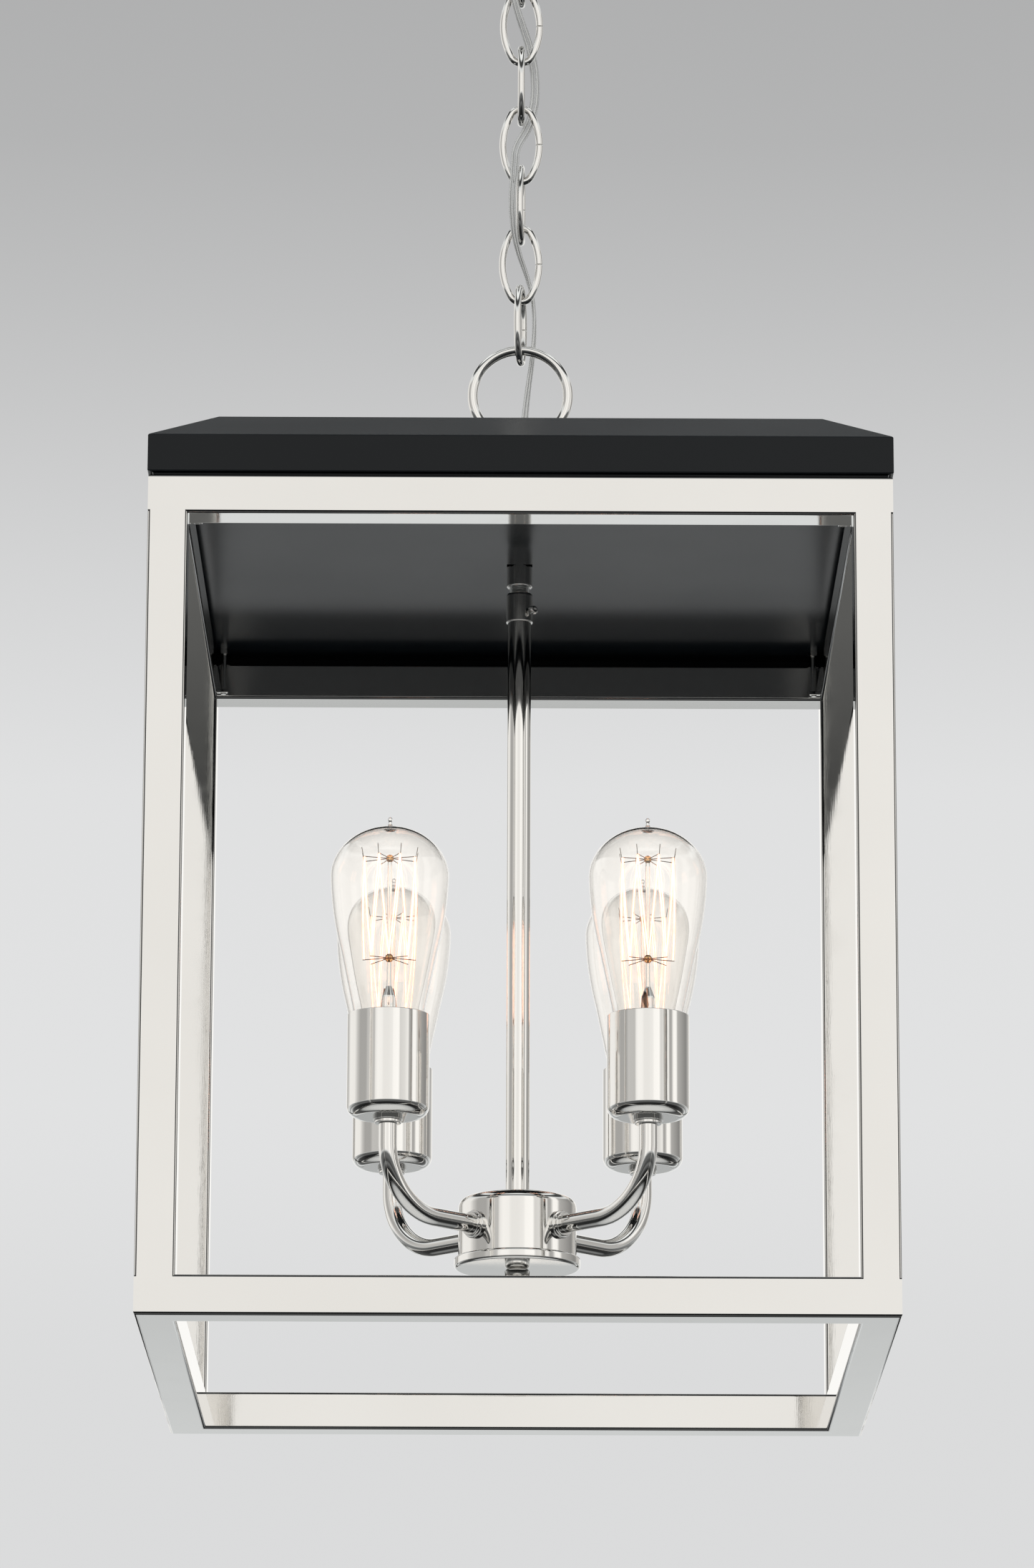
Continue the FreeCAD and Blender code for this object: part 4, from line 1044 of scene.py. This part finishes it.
def makeRoofScrews():
    # Stud, its hex nut under the cap's plate and the corner tab it stands on, at each corner.
    stud = {"at": 155.2, "radius": 1.5, "nut": 3.2, "nutHeight": 2.6, "nutBore": 1.4, "tabAt": 155.75, "tabHalf": 3.0,
            "tabRise": 1.5, "tabHeight": 2.0}
    low, high, _ = sizeOf("roof_screws")
    radius, foot, top = stud["radius"], low[2], high[2]
    panelFoot = sizeOf("roof_panel")[0][2]
    tab = sizeOf("top_rail_front")[0][2] + stud["tabRise"]
    outline = filleted([(0, foot, 0), (radius, foot, 0.2), (radius, top, 0.5), (0, top, 0)], 4)
    parts = []
    for sign in squareSigns:
        at = tuple(sign * stud["at"])
        parts.append(turned(outline, 24, at))
        parts.append(hexNut(stud["nut"], panelFoot - stud["nutHeight"], panelFoot, stud["nutBore"], at, 0.2))
        middle = sign * stud["tabAt"]
        over = tab + stud["tabHeight"]
        rows = [(0.0, tab), (0.9, tab), (1.0, tab + 0.2), (1.0, over - 0.2), (0.9, over), (0.0, over)]
        plate = np.stack([np.concatenate([middle + squareSigns * stud["tabHalf"] * s, np.full((4, 1), z)], -1)
                          for s, z in rows])
        parts.append(gridPart(plate, closeColumns=True))
    addPiece("roof_studs", joined(parts), "lantern", nickel, "polished_nickel", ["roof_screws"], sharpest=25)
    print("roof studs made")


studio = {
    # a ring of soft cards round the lantern, as (heading, brightness)
    "cards": [
        (0.0, 1.0), (0.042, 1.0), (0.069, 0.5), (0.092, 0.55), (0.139, 1.0), (0.206, 0.98), (0.236, 0.66),
        (0.264, 0.45),
        (0.322, 0.45), (0.339, 0.62), (0.394, 0.60), (0.403, 0.95), (0.422, 1.08), (0.453, 1.05), (0.467, 0.95),
        (0.50, 0.95), (0.533, 1.0), (0.542, 1.12), (0.583, 1.16), (0.594, 0.78), (0.633, 0.86), (0.661, 1.02),
        (0.672, 0.42), (0.689, 0.5), (0.706, 1.12), (0.733, 1.10), (0.75, 0.5), (0.794, 0.40), (0.856, 0.28),
        (0.905, 0.5), (0.958, 1.0), (1.0, 1.0)],
    # straight down, up past the horizon at 0.5, to straight up: dark floor, cards, then two dark bands overhead
    "height": [
        (0.0, 0.50), (0.12, 0.44), (0.17, 0.06), (0.29, 0.12), (0.32, 0.45), (0.345, 0.84), (0.36, 0.78),
        (0.377, 0.34), (0.395, 0.40), (0.412, 0.60), (0.43, 0.74), (0.48, 0.80),
        (0.75, 0.90), (0.80, 0.85), (0.83, 0.06), (0.88, 0.06), (0.91, 1.1), (0.95, 1.0), (0.97, 0.12), (1.0, 0.9)],
    # share of the light from below the horizon that is left at each heading: only the far side has any
    "lowSide": [(0.0, 1.0), (0.10, 1.0), (0.17, 0.5), (0.25, 0.2), (0.75, 0.2), (0.83, 0.5), (0.90, 1.0), (1.0, 1.0)],
    "near": [(0.0, 0.0), (0.12, 0.0), (0.17, 1.0), (0.47, 1.0), (0.5, 0.0), (1.0, 0.0)],   # heights where it counts
    "belt": [(0.0, 0.0), (0.49, 0.0), (0.51, 1.0), (0.74, 1.0), (0.78, 0.0), (1.0, 0.0)],
    "backdrop": [
        (0.0, 0.70), (0.583, 0.712), (0.60, 0.76), (0.6254, 0.75), (0.64, 0.665), (0.6536, 0.57), (0.6617, 0.515),
        (0.672, 0.456), (0.70, 0.40)]}


def stops(node, values, tint):
    # colour ramp whose every stop is the tint times a brightness
    ramp = node.color_ramp
    while len(ramp.elements) < len(values):
        ramp.elements.new(0.5)
    for element, (at, value) in zip(ramp.elements, values):
        element.position = at
        element.color = tuple(value * part for part in tint) + (1,)
    return node


def makeWorld():
    # Pale studio. What polished metal mirrors is a ring of soft cards: each is a band of headings with a height.
    world = bpy.data.worlds.new("studio")
    scene.world = world
    world.use_nodes = True
    tree = world.node_tree
    add, link = adder(tree)

    def ramp(source, key, tint=(1, 1, 1)):
        node = stops(add("ValToRGB"), studio[key], tint)
        link(source, node.inputs["Fac"])
        return node.outputs["Color"]

    split = add("SeparateXYZ")
    link(add("TexCoord").outputs["Generated"], split.inputs["Vector"])
    # heading: 0.5 is behind the camera, 0.25 and 0.75 are to its left and right, 0 and 1 are straight ahead
    angle, turnBack = add("Math"), add("Math")
    angle.operation, turnBack.operation = "ARCTAN2", "MULTIPLY"
    turnBack.inputs[1].default_value = -1.0
    link(split.outputs["X"], angle.inputs[0])
    link(split.outputs["Y"], turnBack.inputs[0])
    link(turnBack.outputs[0], angle.inputs[1])
    share = add("MapRange", From_Min=-math.pi, From_Max=math.pi)
    upShare = add("MapRange", From_Min=-1.0, From_Max=1.0)
    link(angle.outputs[0], share.inputs["Value"])
    link(split.outputs["Z"], upShare.inputs["Value"])
    heading, rise = share.outputs["Result"], upShare.outputs["Result"]
    cards = ramp(heading, "cards", (1.0, 0.99, 0.965))
    height = ramp(rise, "height", (0.965, 0.995, 1.0))
    # below the horizon the near half of the room is dark: that colour times the heading's share
    dimmed = colourMix(add, link, ramp(rise, "near"), height, ramp(heading, "lowSide"), "MULTIPLY")
    mirrored = colourMix(add, link, ramp(rise, "belt"), dimmed, cards)
    # what the camera sees behind the lantern: pale low down, a shade greyer towards the top
    seen = ramp(rise, "backdrop", (0.995, 1.0, 1.005))
    picked = colourMix(add, link, add("LightPath").outputs["Is Camera Ray"], mirrored, seen)
    link(picked, tree.nodes["Background"].inputs["Color"])
    print("world made")


def makeFloor():
    # pale disc far below the lantern that fades out towards its rim: alpha follows 1 - distance / radius
    ground = {"below": 7.0, "radius": 6.5, "clearAt": 0.05, "solidAt": 0.55, "glow": 0.2}
    turn = np.linspace(0, 2 * np.pi, 96, endpoint=False)
    radii = np.linspace(0.0, ground["radius"], 3)[:, None]
    level = cadBox[0].z - ground["below"]
    disc = np.stack([radii * np.cos(turn), radii * np.sin(turn), level + 0 * radii * turn], -1)
    points, faces = gridPart(disc, closeColumns=True)
    mesh = bpy.data.meshes.new("floor")
    mesh.from_pydata(points.tolist(), [], faces.tolist())
    floor = bpy.data.objects.new("floor", mesh)
    scene.collection.objects.link(floor)
    material = newMaterial("paleFloor", Base_Color=(0.78, 0.78, 0.77, 1), Roughness=0.8, Specular_IOR_Level=0.1,
                           Emission_Color=(1.0, 1.0, 1.0, 1), Emission_Strength=ground["glow"])
    tree = material.node_tree
    add, link = adder(tree)
    flat = add("Mapping", Scale=(1 / ground["radius"], 1 / ground["radius"], 0.0))
    fall = add("TexGradient")
    fall.gradient_type = "SPHERICAL"
    fade = add("MapRange", From_Min=ground["clearAt"], From_Max=ground["solidAt"])
    link(add("TexCoord").outputs["Object"], flat.inputs["Vector"])
    link(flat.outputs["Vector"], fall.inputs["Vector"])
    link(fall.outputs["Fac"], fade.inputs["Value"])
    link(fade.outputs["Result"], tree.nodes["Principled BSDF"].inputs["Alpha"])
    mesh.materials.append(material)
    print("floor made")


makeCage()
makeCap()
makeRoofScrews()
makeRod()
makeThumbScrew()
makeHub()
makeArms()
makeLamps()
makeRing()
makeHolder()
makeChain()
makeCanopy()
makeWorld()
makeFloor()
scene.view_settings.view_transform = "Standard"
